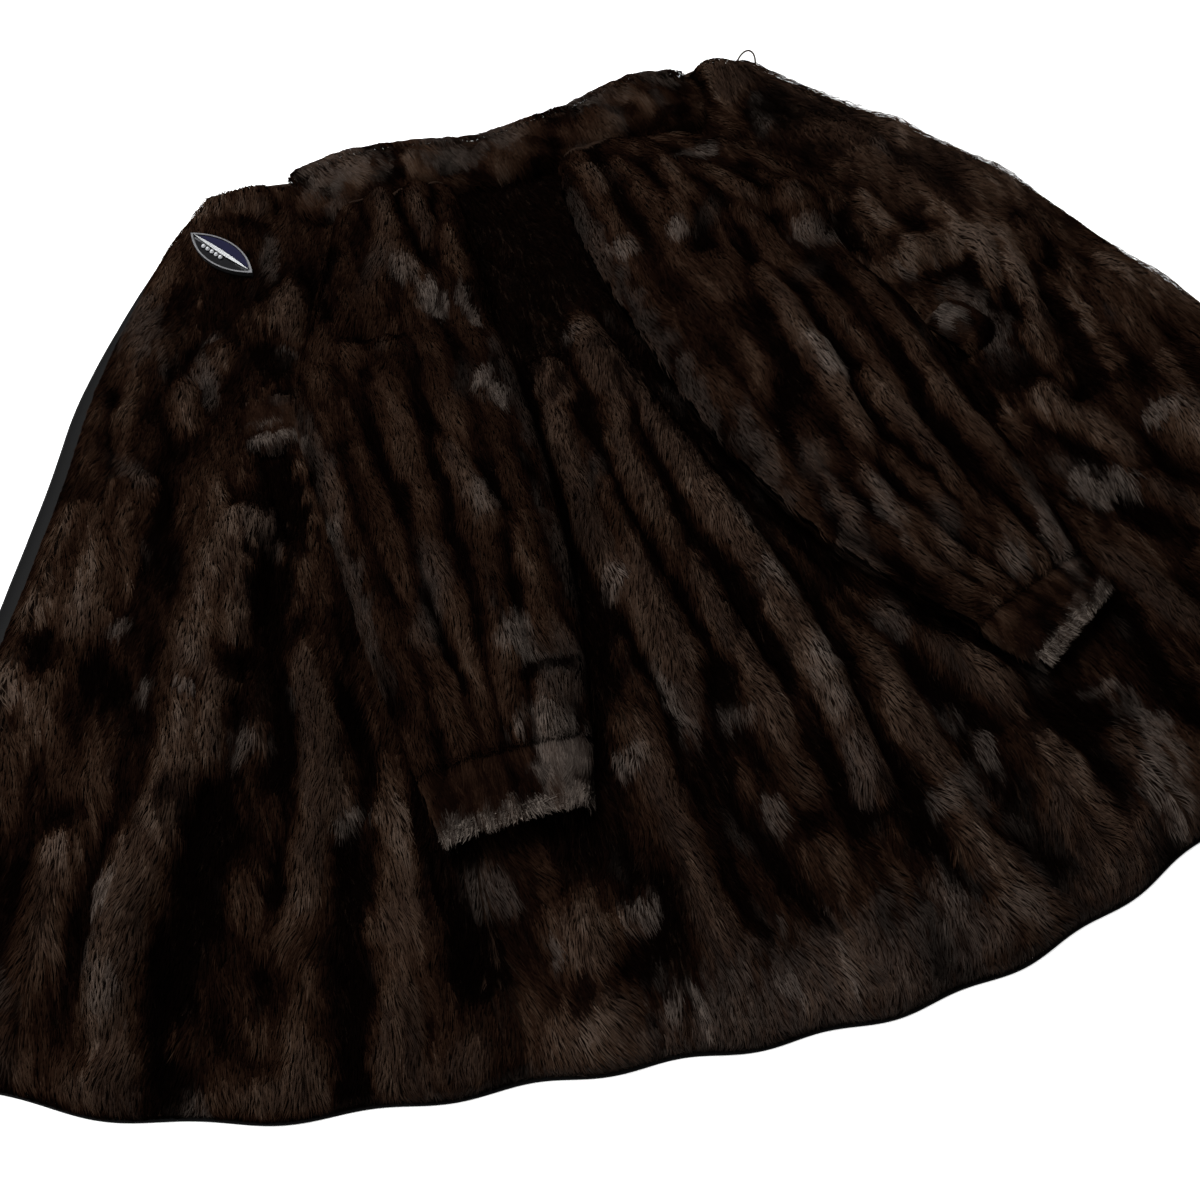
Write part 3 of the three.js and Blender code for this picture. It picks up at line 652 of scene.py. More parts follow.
def blurred(values, rows, columns):
    # a box average over that many rows and columns of a grid, with its border values carried on
    for axis, half in ((0, rows // 2), (1, columns // 2)):
        wide = np.concatenate([np.repeat(np.take(values, [0], axis), half, axis), values,
                               np.repeat(np.take(values, [-1], axis), half, axis)], axis)
        total = np.cumsum(np.insert(wide, 0, 0, axis), axis)
        size = 2 * half + 1
        count = values.shape[axis]
        upper = np.take(total, np.arange(size, size + count), axis)
        values = (upper - np.take(total, np.arange(count), axis)) / size
    return values


def ridgeOf(height, rows, columns):
    # how far a place stands above its surroundings: over 0 on a crest, under 0 in a valley
    return height - blurred(blurred(height, rows, columns), rows, columns)


def softRidges(u, v):
    # long uneven ridges that run with the strips: the size of a stretched noise, so that crests are
    # round and the valleys between them, where the noise is nought, are narrow
    across = 430 * u + 12 * np.sin(v * 9 + 4 * u) + 9 * np.sin(v * 17 - 7 * u)
    along = 105 * v
    broad = np.sqrt(cloud(across, along, 78, 5, 12) ** 2 + 0.02)
    narrow = np.sqrt(cloud(across, along * 2, 40, 6, 12) ** 2 + 0.02)
    return 2.8 * np.minimum(broad, 1.4) + 1.8 * np.minimum(narrow, 1.3) - 2.0


def bodyGrid(u, v):
    # the leather's top and underside, the depth of fur on it, and what covers it
    u, v = np.meshgrid(u, v)
    x, y = np.moveaxis(bodyPlan(u, v), -1, 0)
    lift = bodyLift(x, y, u, v)
    toFront = (1 - np.abs(u)) * mix(268, 597, v)
    full = smooth(0, body["edgeTaper"], np.minimum(toFront, np.minimum(v, 1 - v) * 760))
    bottom = np.maximum(0, lift - body["foldSlack"]) * full
    lumpy = full * (1 - coverOf(x, y)) * (softRidges(u, v) + 0.9 * cloud(x, y * 0.7, 40, 3))
    lumpy = lumpy + 0.95 * full * (1 - coverOf(x, y)) * creaseHeight(bodyCreases, x, y)
    furTop = lift * full + mix(body["edgePile"], body["pelt"], full) - pocketDip(x, y) + lumpy
    depth = mix(1.0, body["furDepth"], full)
    ridge = ridgeOf(furTop, 7, 9)
    top = np.maximum(bottom + 1.4, furTop - depth)
    return dict(
        top=np.stack([x, y, top], -1),
        low=np.stack([x, y, bottom], -1),
        depth=depth,
        full=full,
        u=u,
        v=v,
        cover=coverOf(x, y),
        ridge=ridge,
    )


def sleeveRing(one, s, steps):
    # a flattened tube: t runs from the left edge over the top to the right edge, then back underneath
    rows = np.array(one["rows"], float)
    lx, ly, rx, ry, high = (through(rows[:, k], s)[:, None] for k in range(5))
    half = np.linspace(0, 1, steps + 1)
    over = mix(2 * half - 1, -np.cos(math.pi * half), 0.4)
    t = np.concatenate([over, over[::-1][1:-1]])[None, :]
    above = (np.arange(t.size) <= steps)[None, :]
    base = body["pelt"] + sleeve["gap"]
    gathers = 1 - 0.75 * smooth(sleeve["cuffAt"] - 0.02, sleeve["cuffAt"] + 0.02, s)[:, None]
    folds = np.zeros(np.broadcast(lx, t).shape)
    for at, start, end, wide, tall in one["folds"]:
        along = (s - start) / (end - start)
        fade = smooth(0, 0.15, along) * (1 if end == 1 else 1 - smooth(0.8, 1, along))
        fade = np.where((along < 0) | (along > 1), 0, fade)[:, None]
        away = (t - through(at, s)[:, None] + 0.03 * np.sin(11 * s[:, None] + 9 * wide)) / wide
        folds = folds + tall * fade * np.exp(-(away**2))
    roundOver = np.sqrt(np.clip(1 - np.abs(t) ** 3, 0, 1))
    roundUnder = np.sqrt(np.clip(1 - np.abs(t) ** 10, 0, 1))
    share = sleeve["edgeShare"]
    width = np.hypot(rx - lx, ry - ly)
    place = (t * (1 - 2 * sleeve["furSide"] / width) + 1) / 2
    x, y = mix(lx, rx, place), mix(ly, ry, place)
    ripple = np.abs(cloud(t * 85 + 0 * s[:, None], s[:, None] * 90, 46, 7, 12)) * gathers
    relief = 0.6 * gathers * folds + 2.6 * np.minimum(ripple, 1.3) - 1.3 + creaseHeight(one["creases"], x, y)
    relief = relief * (1 - np.abs(t) ** 8)
    zFur = high * mix(share, 1, roundOver) - 5 * roundOver + relief
    zOver = zFur - sleeve["furDepth"] * roundOver
    zUnder = high * share * (1 - roundUnder)
    outer = np.stack([x, y, base + np.where(above, zOver, zUnder)], -1)
    innerTop = high - 5 - sleeve["overWall"]
    innerMiddle = mix(sleeve["underWall"], innerTop, 0.4)
    roundIn = np.where(above, roundOver, np.sqrt(np.clip(1 - np.abs(t) ** 6, 0, 1)))
    z = mix(innerMiddle, np.where(above, innerTop, sleeve["underWall"]), roundIn)
    place = (t * (1 - 2 * sleeve["sideWall"] / width) + 1) / 2
    inner = np.stack([mix(lx, rx, place), mix(ly, ry, place), base + z], -1)
    ridge = ridgeOf(np.where(above, zFur - high * mix(share, 1, roundOver), 0), 5, 5)
    return outer, inner, np.broadcast_to(above, folds.shape), np.broadcast_to(t, folds.shape), ridge


def collarGrid(across, along):
    # a roll whose section is a superellipse, lower and narrower at its two ends
    rows = np.array(collar["rows"], float)
    w, t = across[:, None], along[None, :]
    x, low, top, high = (through(rows[:, k], along)[None, :] for k in range(4))
    end = np.sqrt(np.clip(1 - np.abs(2 * t - 1) ** 7, 0, 1))
    half = (top - low) / 2 * mix(0.55, 1, end)
    swell = np.sqrt(np.clip(1 - np.abs(w) ** 2.6, 0, 1)) * mix(0.2, 1, end)
    base = body["pelt"] + collar["seam"]
    y = (low + top) / 2 - w * half
    crumple = (1.2 * np.sin(26 * t + 2 * w) + 2.0 * cloud(x, y, 38, 44) + 1.4 * cloud(x, y, 16, 45)) * swell
    zTop = 6 + (high - 6) * swell + crumple - collar["furDepth"] * swell - 2
    zLow = 2.4 * (1 - swell) ** 2
    upper = np.stack(np.broadcast_arrays(x, y, base + np.maximum(zTop, zLow + 1)), -1)
    lower = np.stack(np.broadcast_arrays(x, y, base + zLow), -1)
    return upper, lower, crumple


def lipGrid(p, across, along):
    a, b = across[None, :], along[:, None]
    arch = lip["arch"] * (1 - a * a)
    x = np.broadcast_to(a * lip["wide"] / 2, np.broadcast(a, b).shape)
    y = b * lip["long"] / 2 + np.where(b < 0, arch * b, 0)
    swell = np.sqrt(np.clip((1 - a**4) * (1 - b**6), 0, 1))
    turnCos, turnSin = math.cos(p["turn"]), math.sin(p["turn"])
    base = body["pelt"] + lip["seam"]
    px, py = p["lipX"] + x * turnCos - y * turnSin, p["lipY"] + x * turnSin + y * turnCos
    upper = np.stack([px, py, base + 1 + (lip["thick"] - 4) * swell], -1)
    lower = np.stack([px, py, np.full(px.shape, base)], -1)
    return upper, lower


# Meshes


def makeMesh(name, points, faces, material):
    # points in plan millimetres, faces of three or four corners each
    points = np.asarray(points, float).reshape(-1, 3)
    placed = (points - (planMiddle[0], planMiddle[1], 0)) * mm
    faces = np.asarray(faces, np.int32)
    count, corners = faces.shape
    mesh = bpy.data.meshes.new(name)
    mesh.vertices.add(len(placed))
    mesh.vertices.foreach_set("co", placed.ravel())
    mesh.loops.add(count * corners)
    mesh.loops.foreach_set("vertex_index", faces.ravel())
    mesh.polygons.add(count)
    mesh.polygons.foreach_set("loop_start", np.arange(count, dtype=np.int32) * corners)
    mesh.update(calc_edges=True)
    mesh.materials.append(material)
    piece = bpy.data.objects.new(name, mesh)
    bpy.context.scene.collection.objects.link(piece)
    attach(piece, "root")
    return piece


def smoothShade(piece):
    piece.data.polygons.foreach_set("use_smooth", np.ones(len(piece.data.polygons), bool))


def gridFaces(rows, columns, start=0, wrap=False, flip=False):
    # quads between neighbours of a grid, facing up when rows run towards the hem and columns to the right
    i = np.arange(rows - 1)[:, None]
    j = np.arange(columns if wrap else columns - 1)[None, :]
    k = (j + 1) % columns
    a, b, c, d = i * columns + j, (i + 1) * columns + j, (i + 1) * columns + k, i * columns + k
    faces = np.stack([a, b, c, d], -1).reshape(-1, 4) + start
    return faces[:, ::-1] if flip else faces


def wallMesh(name, upper, lower, material):
    # an upper and a lower grid, joined all round their border
    rows, columns = upper.shape[:2]
    size = rows * columns
    border = np.concatenate([
        np.arange(columns)[::-1],
        np.arange(1, rows) * columns,
        (rows - 1) * columns + np.arange(1, columns),
        np.arange(rows - 2, 0, -1) * columns + columns - 1,
    ])
    following = np.roll(border, -1)
    sides = np.stack([border, border + size, following + size, following], -1)
    faces = np.concatenate([gridFaces(rows, columns), gridFaces(rows, columns, size, flip=True), sides])
    piece = makeMesh(name, np.concatenate([upper.reshape(-1, 3), lower.reshape(-1, 3)]), faces, material)
    smoothShade(piece)
    return piece


def tubeMesh(name, outer, inner, material):
    # an outer and an inner tube, joined by a ring at each end
    rows, around = outer.shape[:2]
    size = rows * around
    j = np.arange(around)
    k = (j + 1) % around
    last = (rows - 1) * around
    head = np.stack([j, k, k + size, j + size], -1)
    foot = np.stack([last + k, last + j, last + j + size, last + k + size], -1)
    faces = [gridFaces(rows, around, wrap=True), gridFaces(rows, around, size, True, True), head, foot]
    points = np.concatenate([outer.reshape(-1, 3), inner.reshape(-1, 3)])
    piece = makeMesh(name, points, np.concatenate(faces), material)
    smoothShade(piece)
    return piece


# Fur: locks of hair, each a narrow leaf of two triangles that bends over at its middle
fur = dict(
    length=14.0,
    width=0.8,
    lengthSpread=0.25,
    combing=0.2,  # how far locks turn from the nap, radians
    rise=0.9,  # share of the fur's depth that a lock has reached at its middle
    rootTone=0.7,
    sinking=2.4,  # how far the hair beyond an edge has sunk where it ends
)


def sampleGrid(grid, r, c):
    # bilinear reading of a grid at fractional rows and columns
    rows, columns = grid.shape[:2]
    r, c = np.clip(r, 0, rows - 1.001), np.clip(c, 0, columns - 1.001)
    i, j = np.floor(r).astype(int), np.floor(c).astype(int)
    a, b = r - i, c - j
    if grid.ndim == 3:
        a, b = a[:, None], b[:, None]
    return mix(mix(grid[i, j], grid[i, j + 1], b), mix(grid[i + 1, j], grid[i + 1, j + 1], b), a)


def unit(vectors):
    return vectors / np.maximum(np.linalg.norm(vectors, axis=-1, keepdims=True), 1e-9)


def growFur(name, grid, depth, weight, count, colourOf, material, seed, long=1.0, turn=None, hang=1.6):
    # roots are spread evenly over the grid's area times weight; a lock lies along the rows' direction,
    # turned by what the grid turn says
    rng = np.random.default_rng(seed)
    diagonals = grid[1:, 1:] - grid[:-1, :-1], grid[1:, :-1] - grid[:-1, 1:]
    area = np.linalg.norm(np.cross(*diagonals), axis=-1) / 2
    cellWeight = (weight[1:, 1:] + weight[:-1, :-1] + weight[1:, :-1] + weight[:-1, 1:]) / 4
    total = np.cumsum((area * cellWeight).ravel())
    picks = (np.arange(count) + rng.random(count)) / count * total[-1]
    cell = np.searchsorted(total, picks)
    cell = np.minimum(cell, total.size - 1)
    columns = grid.shape[1] - 1
    r = cell // columns + rng.random(count)
    c = cell % columns + rng.random(count)

    down, right = np.gradient(grid, axis=0), np.gradient(grid, axis=1)
    normals = unit(np.cross(right, -down))
    up = unit(sampleGrid(normals, r, c))
    rowStep, columnStep = sampleGrid(down, r, c), sampleGrid(right, r, c)
    rowSize = np.linalg.norm(rowStep, axis=-1)
    columnSize = np.maximum(np.linalg.norm(columnStep, axis=-1), 0.5)
    root = sampleGrid(grid, r, c)
    deep = sampleGrid(depth, r, c)

    x, y = root[:, 0], root[:, 1]
    angle = 0 if turn is None else sampleGrid(turn, r, c)
    angle = angle + fur["combing"] * (0.9 * cloud(x, y, 60, seed + 1) + 0.7 * cloud(x, y, 19, seed + 2))
    angle = angle + rng.normal(0, 0.08, count)
    length = long * fur["length"] * (1 + fur["lengthSpread"] * rng.uniform(-1, 1, count))
    height = 1 + 0.04 * rng.uniform(-1, 1, count) + 0.08 * cloud(x, y, 14, seed + 3)

    reach = hang * rng.random(count)

    def along(share):
        # the surface below a point of the lock, so that a lock follows the folds
        rr = r + np.cos(angle) * length * share / np.maximum(rowSize, 0.5)
        cc = c + np.sin(angle) * length * share / columnSize
        over = np.clip((rr - (grid.shape[0] - 1)) * rowSize, 0, reach)
        middleColumn = (grid.shape[1] - 1) / 2
        beside = np.clip((np.abs(cc - middleColumn) - middleColumn) * columnSize, 0, reach)
        away = unit(rowStep) * over[:, None] + unit(columnStep) * (beside * np.sign(angle))[:, None]
        away[:, 2] -= fur["sinking"] / hang * (over + beside)
        return sampleGrid(grid, rr, cc) + away

    middle = along(0.5) + up * (deep * fur["rise"] * height)[:, None]
    tip = along(1.0) + up * (deep * height * rng.uniform(0.85, 1.05, count))[:, None]
    side = unit(np.cross(unit(tip - root), up))
    twist = rng.normal(0, 0.1, count)
    side = side * np.cos(twist)[:, None] + up * np.sin(twist)[:, None]
    half = 0.5 * fur["width"] * rng.uniform(0.7, 1.3, count)[:, None]
    points = np.stack([root - up * 0.6, middle + side * half, middle - side * half, tip], 1)

    first = np.arange(count)[:, None] * 4
    faces = np.concatenate([first + (0, 1, 2), first + (1, 3, 2)], 1).reshape(-1, 3)
    piece = makeMesh(name, points, faces, material)

    colour = colourOf(r, c, x, y, rng)
    tone = np.array([fur["rootTone"], 0.94, 0.94, 1.08])[None, :, None]
    layer = piece.data.color_attributes.new("hair", "FLOAT_COLOR", "POINT")
    rgba = np.ones((count, 4, 4))
    rgba[..., :3] = colour[:, None, :] * tone
    layer.data.foreach_set("color", rgba.ravel())

    # each lock has a square of its own on the OFBake UV map
    across = math.ceil(math.sqrt(count))
    number = np.arange(count)
    corner = np.stack([number % across, number // across], -1)[:, None, :]
    inside = np.array([(0.12, 0.12), (0.88, 0.12), (0.12, 0.88), (0.88, 0.88)])[None]
    places = (corner + inside) / across
    uv = piece.data.uv_layers.new(name="OFBake")
    loops = np.concatenate([places[:, [0, 1, 2]], places[:, [1, 3, 2]]], 1)
    uv.data.foreach_set("uv", loops.ravel())
    return piece


# Colours of the hair
hair = dict(
    steps=(0, 0.3, 0.55, 0.8, 1.0),
    shades=[
        (0.0008, 0.0004, 0.0003),
        (0.0037, 0.0016, 0.001),
        (0.0102, 0.0049, 0.0029),
        (0.023, 0.0132, 0.0084),
        (0.046, 0.0312, 0.0232),
    ],
    # the colour of the painted sheen, a silvery grey
    silver=(0.08, 0.064, 0.054),
    pale=(0.17, 0.14, 0.118),
)
hair = {name: np.array(value) for name, value in hair.items()}


def blendHair(warmth, silver, rng, count):
    # each lock's shade is read from dark to light, greyed by the painted silvery sheen, and a little lighter or
    # darker by chance
    warmth = np.clip(warmth + 0.06 * rng.normal(size=count), 0, 1)
    silver = np.clip(silver * rng.uniform(0.5, 1.5, count), 0, 1)[:, None]
    base = np.stack([np.interp(warmth, hair["steps"], hair["shades"][:, k]) for k in range(3)], -1)
    chance = np.exp(0.1 * rng.normal(size=count))[:, None]
    return mix(base, hair["silver"], silver) * chance


def crestHighlightTroughShade(ridge):
    # painted light: fur is lighter on a crest, as a painted highlight, and much darker in a trough, as painted
    # shade
    return np.where(ridge < 0, 0.5, 0.3) * np.tanh(ridge / 2.4)


def peltPiece(u, v):
    # each strip is joined from shorter pelts, and each pelt has a shade of its own between -1 and 1
    strip = np.floor(stripPhase(u) / math.pi)
    row = np.floor(v * 3.2 + 0.5 * np.sin(strip * 2.4))
    return np.sin(strip * 12.9898 + row * 78.233 + 1.3)


def bodyColour(grid):
    def colour(r, c, x, y, rng):
        u, v = sampleGrid(grid["u"], r, c), sampleGrid(grid["v"], r, c)
        ridge = sampleGrid(grid["ridge"], r, c)
        strip = np.cos(stripPhase(u) + 0.5 * cloud(x, y, 160, 21))
        blotch = cloud(x, y * 0.5, 70, 22) + 0.6 * cloud(x, y * 0.45, 32, 23)
        streak = cloud(x, y * 0.12, 7, 24)
        fine = cloud(x, y * 0.3, 13, 28)
        warmth = 0.41 + 0.12 * smooth(150, 400, x) - 0.07 * smooth(500, 200, y) - 0.05 * smooth(260, 60, np.abs(x))
        warmth = warmth + 0.03 * strip + 0.1 * blotch + 0.085 * streak + 0.07 * fine
        warmth = warmth + crestHighlightTroughShade(ridge) + 0.12 * peltPiece(u, v)
        # painted sheen: grey in soft patches, near the neck on the right, along the hem, in the listed pale places
        # and on high crests, and none in troughs
        patch = cloud(x, y * 0.6, 60, 25) + 0.6 * cloud(x, y * 0.45, 26, 26)
        grey = 0.16 * smooth(1.1, 2.2, patch) + 0.05 * smooth(0.5, 1, u) * smooth(0.6, 0.2, v)
        grey = grey + 0.3 * smooth(0.98, 1, v) * smooth(-0.6, -0.3, u)
        grey = np.maximum(grey, 0.72 * patchOf(bodySheenPatches, x, y)) * smooth(-4, 0.5, ridge)
        grey = grey + 0.05 * smooth(2.2, 4.5, ridge)
        # painted shade: the recess between the sleeves below the collar and the listed dark places are darkened
        recessShade = smooth(630, 680, y) * smooth(-110, -80, x) * smooth(55, 25, x)
        shade = np.maximum(0.9 * recessShade, patchOf(bodyPaintedShades, x, y))
        warmth = warmth * (1 - shade)
        grey = grey * (1 - shade)
        return blendHair(warmth, grey, rng, len(x))

    return colour


def sleeveColour(firstRow, lastRow, rows, cuff, ridges, patches, tone):
    def colour(r, c, x, y, rng):
        ridge = sampleGrid(ridges, r, c)
        s = mix(firstRow, lastRow, r / (rows - 1))
        blotch = cloud(x, y * 0.4, 48, 31) + 0.7 * cloud(x, y * 0.35, 24, 32)
        streak = cloud(x, y * 0.1, 7, 33)
        # crests are lighter as painted highlight and troughs darker as painted shade
        warmth = tone + 0.1 * blotch + 0.085 * streak + 0.07 * cloud(x, y * 0.3, 13, 36) + crestHighlightTroughShade(ridge)
        # painted sheen: grey in soft patches, in the listed pale places and on high crests, and none in troughs
        grey = 0.14 * smooth(1.0, 2.0, cloud(x, y * 0.5, 45, 34))
        grey = np.maximum(grey, 0.75 * patchOf(patches, x, y)) * smooth(-4, 0.5, ridge)
        grey = grey + 0.05 * smooth(2.2, 4.5, ridge)
        # painted shade: darker and without sheen at the head of the sleeve, under the collar
        headed = smooth(0, 0.035, s)
        result = blendHair(warmth - 0.35 * (1 - headed), grey * headed, rng, len(x))
        if cuff:
            pale = smooth(0.925, 1.0, s + 0.014 * cloud(x, y, 16, 35))[:, None] * rng.random((len(x), 1))
            result = mix(result, hair["pale"] * rng.uniform(0.4, 1.1, (len(x), 1)), 0.75 * pale)
        return result

    return colour


def plainColour(warm, grey, seed, ridges=None, patches=()):
    def colour(r, c, x, y, rng):
        blotch = cloud(x, y * 0.7, 40, seed) + 0.6 * cloud(x, y * 0.6, 18, seed + 1)
        # painted sheen: grey in soft patches and in the listed pale places
        silver = grey + 0.2 * smooth(0.3, 1.6, cloud(x, y, 50, seed + 2))
        silver = np.maximum(silver, patchOf(patches, x, y))
        # painted highlight on raised crumples and painted shade in their hollows
        lit = 0 if ridges is None else 0.3 * np.tanh(sampleGrid(ridges, r, c) / 2.2)
        return blendHair(warm + 0.18 * blotch + lit, silver, rng, len(x))

    return colour


# Materials


def newMaterial(name):
    material = bpy.data.materials.new(name)
    material.use_nodes = True
    nodes = material.node_tree.nodes
    return material, nodes, material.node_tree.links, nodes["Principled BSDF"]


def hairMaterial():
    # the lock's own colour, varied by a fine noise, with its specular gloss turned off
    material, nodes, links, shader = newMaterial("mink_hair")
    colour = nodes.new("ShaderNodeAttribute")
    colour.attribute_name = "hair"
    place = nodes.new("ShaderNodeTexCoord")
    noise = nodes.new("ShaderNodeTexNoise")
    noise.inputs["Scale"].default_value = 420
    noise.inputs["Detail"].default_value = 2
    tone = nodes.new("ShaderNodeMapRange")
    tone.inputs["To Min"].default_value = 0.7
    tone.inputs["To Max"].default_value = 1.3
    blend = nodes.new("ShaderNodeMix")
    blend.data_type = "RGBA"
    blend.blend_type = "MULTIPLY"
    blend.inputs["Factor"].default_value = 1
    links.new(place.outputs["Object"], noise.inputs["Vector"])
    links.new(noise.outputs["Fac"], tone.inputs["Value"])
    links.new(colour.outputs["Color"], blend.inputs["A"])
    links.new(tone.outputs["Result"], blend.inputs["B"])
    links.new(blend.outputs["Result"], shader.inputs["Base Color"])
    shader.inputs["Roughness"].default_value = 0.5
    shader.inputs["Specular IOR Level"].default_value = 0.0
    return material


def leatherMaterial():
    # the underfur and leather between the locks, near black
    material, nodes, links, shader = newMaterial("mink_underfur")
    place = nodes.new("ShaderNodeTexCoord")
    noise = nodes.new("ShaderNodeTexNoise")
    noise.inputs["Scale"].default_value = 260
    noise.inputs["Detail"].default_value = 5
    ramp = nodes.new("ShaderNodeValToRGB")
    ramp.color_ramp.elements[0].color = (0.003, 0.002, 0.0015, 1)
    ramp.color_ramp.elements[1].color = (0.02, 0.011, 0.007, 1)
    bump = nodes.new("ShaderNodeBump")
    bump.inputs["Strength"].default_value = 0.5
    bump.inputs["Distance"].default_value = 0.001
    links.new(place.outputs["Object"], noise.inputs["Vector"])
    links.new(noise.outputs["Fac"], ramp.inputs["Fac"])
    links.new(ramp.outputs["Color"], shader.inputs["Base Color"])
    links.new(noise.outputs["Fac"], bump.inputs["Height"])
    links.new(bump.outputs["Normal"], shader.inputs["Normal"])
    shader.inputs["Roughness"].default_value = 0.9
    shader.inputs["Specular IOR Level"].default_value = 0.02
    return material


def satinMaterial():
    # fine crossed threads of a dark grey satin
    material, nodes, links, shader = newMaterial("grey_satin")
    place = nodes.new("ShaderNodeTexCoord")
    wave = nodes.new("ShaderNodeTexWave")
    wave.inputs["Scale"].default_value = 900
    wave.inputs["Distortion"].default_value = 1.5
    ramp = nodes.new("ShaderNodeValToRGB")
    ramp.color_ramp.elements[0].color = (0.0025, 0.0025, 0.0026, 1)
    ramp.color_ramp.elements[1].color = (0.006, 0.006, 0.0062, 1)
    links.new(place.outputs["Object"], wave.inputs["Vector"])
    links.new(wave.outputs["Fac"], ramp.inputs["Fac"])
    links.new(ramp.outputs["Color"], shader.inputs["Base Color"])
    shader.inputs["Roughness"].default_value = 0.5
    shader.inputs["Specular IOR Level"].default_value = 0.03
    return material


def glossMaterial(name, low, high, roughness, metallic=0.0, transmission=0.0, scale=300, shine=0.5):
    # a smooth hard finish with a faint cloudy change of colour
    material, nodes, links, shader = newMaterial(name)
    place = nodes.new("ShaderNodeTexCoord")
    noise = nodes.new("ShaderNodeTexNoise")
    noise.inputs["Scale"].default_value = scale
    ramp = nodes.new("ShaderNodeValToRGB")
    ramp.color_ramp.elements[0].color = (*low, 1)
    ramp.color_ramp.elements[1].color = (*high, 1)
    links.new(place.outputs["Object"], noise.inputs["Vector"])
    links.new(noise.outputs["Fac"], ramp.inputs["Fac"])
    links.new(ramp.outputs["Color"], shader.inputs["Base Color"])
    shader.inputs["Roughness"].default_value = roughness
    shader.inputs["Metallic"].default_value = metallic
    shader.inputs["Specular IOR Level"].default_value = shine
    shader.inputs["Transmission Weight"].default_value = transmission
    return material


minkHair, underfur, greySatin = hairMaterial(), leatherMaterial(), satinMaterial()
silverMetal = glossMaterial("silver_metal", (0.42, 0.43, 0.44), (0.66, 0.67, 0.68), 0.25, metallic=1.0)
dullMetal = glossMaterial("dull_metal", (0.05, 0.05, 0.053), (0.13, 0.13, 0.135), 0.45, metallic=1.0)
navyEnamel = glossMaterial("navy_enamel", (0.002, 0.002, 0.012), (0.004, 0.004, 0.022), 0.5, shine=0.06)
# a near-black copy of the navy enamel, painted shade for the button's lower face, which lies in shade
enamelPaintedShade = glossMaterial("black_enamel", (0.001, 0.001, 0.0015), (0.003, 0.003, 0.004), 0.5, shine=0.05)
clearStone = glossMaterial("clear_stone", (0.4, 0.41, 0.43), (0.55, 0.56, 0.58), 0.12, transmission=0.15)
brownThread = glossMaterial("brown_thread", (0.012, 0.008, 0.006), (0.05, 0.036, 0.028), 0.8, scale=2500)

# The satin lining that shows beside the fur
lining = dict(thick=1.6, frontWidth=14.0, hemWidth=3.0, seam=0.3, wave=0.25)


def liningStrip(name, points, width):
    # a thin flat band outside an edge that has the coat on its left, a little uneven in height
    steps = np.gradient(points, axis=0)
    steps = unit(steps)
    out = np.stack([steps[:, 1], -steps[:, 0]], -1)
    shares = np.array([0, 0.15, 0.5, 0.85, 1.0])[:, None, None]
    reach = lining["seam"] * 0.2 + shares * width[None, :, None]
    place = points[None] + out[None] * reach
    thick = lining["thick"] * np.array([0.8, 1, 1, 0.9, 0.5])[:, None]
    wave = lining["wave"] * cloud(place[..., 0], place[..., 1], 40, 61)
    upper = np.concatenate([place, (thick + np.clip(wave, -0.4, 0))[..., None]], -1)
    lower = np.concatenate([place, np.zeros(place.shape[:2] + (1,))], -1)
    strip = wallMesh(name + "_satin", upper, lower, greySatin)
    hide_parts(name)
    return strip


def makeLining():
    u = np.linspace(-1, 1, 400)
    hem = bodyPlan(u, np.ones(400))
    hemStrip = liningStrip("lining_hem", hem, np.full(400, lining["hemWidth"]))
    v = np.linspace(0.08, 1, 160)
    front = bodyPlan(np.full(160, -1.0), v)
    width = mix(1.2, lining["frontWidth"], smooth(0.08, 0.5, v))
    frontStrip = liningStrip("lining_front_edge", front, width)
    print("lining made")
    return hemStrip


hemLining = makeLining()

# The body panels and their fur
panels = [
    dict(name="back", start=-body["sideSeamAt"], end=body["sideSeamAt"], columns=84, locks=70000,
         flat=(0.46, 0.8), area=0.262, hems=[hemLining]),
    dict(name="front_left", start=-1.0, end=-body["sideSeamAt"], columns=76, locks=88000,
         flat=(0.42, 0.8), area=0.2),
    dict(name="front_right", start=body["sideSeamAt"], end=1.0, columns=76, locks=88000,
         flat=(0.42, 0.8), area=0.2),
]


def edgedRows(count):
    # even rows, with closer ones at the neck and the hem where the fur thins
    return np.concatenate([[0, 0.006, 0.014, 0.024], np.linspace(0.034, 0.966, count), [0.976, 0.986, 0.994, 1]])


def edgedColumns(panel):
    # columns from seam to seam, closer together near a front edge
    u = np.linspace(panel["start"], panel["end"], panel["columns"])
    extra = [sign * near for sign in (-1, 1) if sign in u for near in (0.993, 0.985, 0.975, 0.965)]
    return np.sort(np.concatenate([u, extra]))


def makePanel(panel, seed):
    u = edgedColumns(panel)
    grid = bodyGrid(u, edgedRows(96))
    top, low = grid["top"].copy(), grid["low"].copy()
    for column, edge, sign in ((0, panel["start"], 1), (-1, panel["end"], -1)):
        if abs(edge) < 1:
            top[:, column, 0] += sign * 0.02
            low[:, column, 0] += sign * 0.02
    leather = wallMesh("leather_" + panel["name"], top, low, underfur)
    weight = 1 - smooth(0.85, 1, grid["cover"]) * (sleeveCovered(top[..., 0], top[..., 1]))
    weight = weight * (1 + 1.2 * (1 - grid["full"]))
    nap = 0.26 * peltPiece(grid["u"], grid["v"]) + 0.9 * (1 - grid["full"]) * smooth(0.9, 1, np.abs(grid["u"])) \
        * np.sign(grid["u"])
    locks = growFur("fur_" + panel["name"], grid["top"], grid["depth"], weight, panel["locks"],
                    bodyColour(grid), minkHair, seed, turn=nap)
    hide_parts(panel["name"])
    print("panel", panel["name"], "with", panel["locks"], "locks")


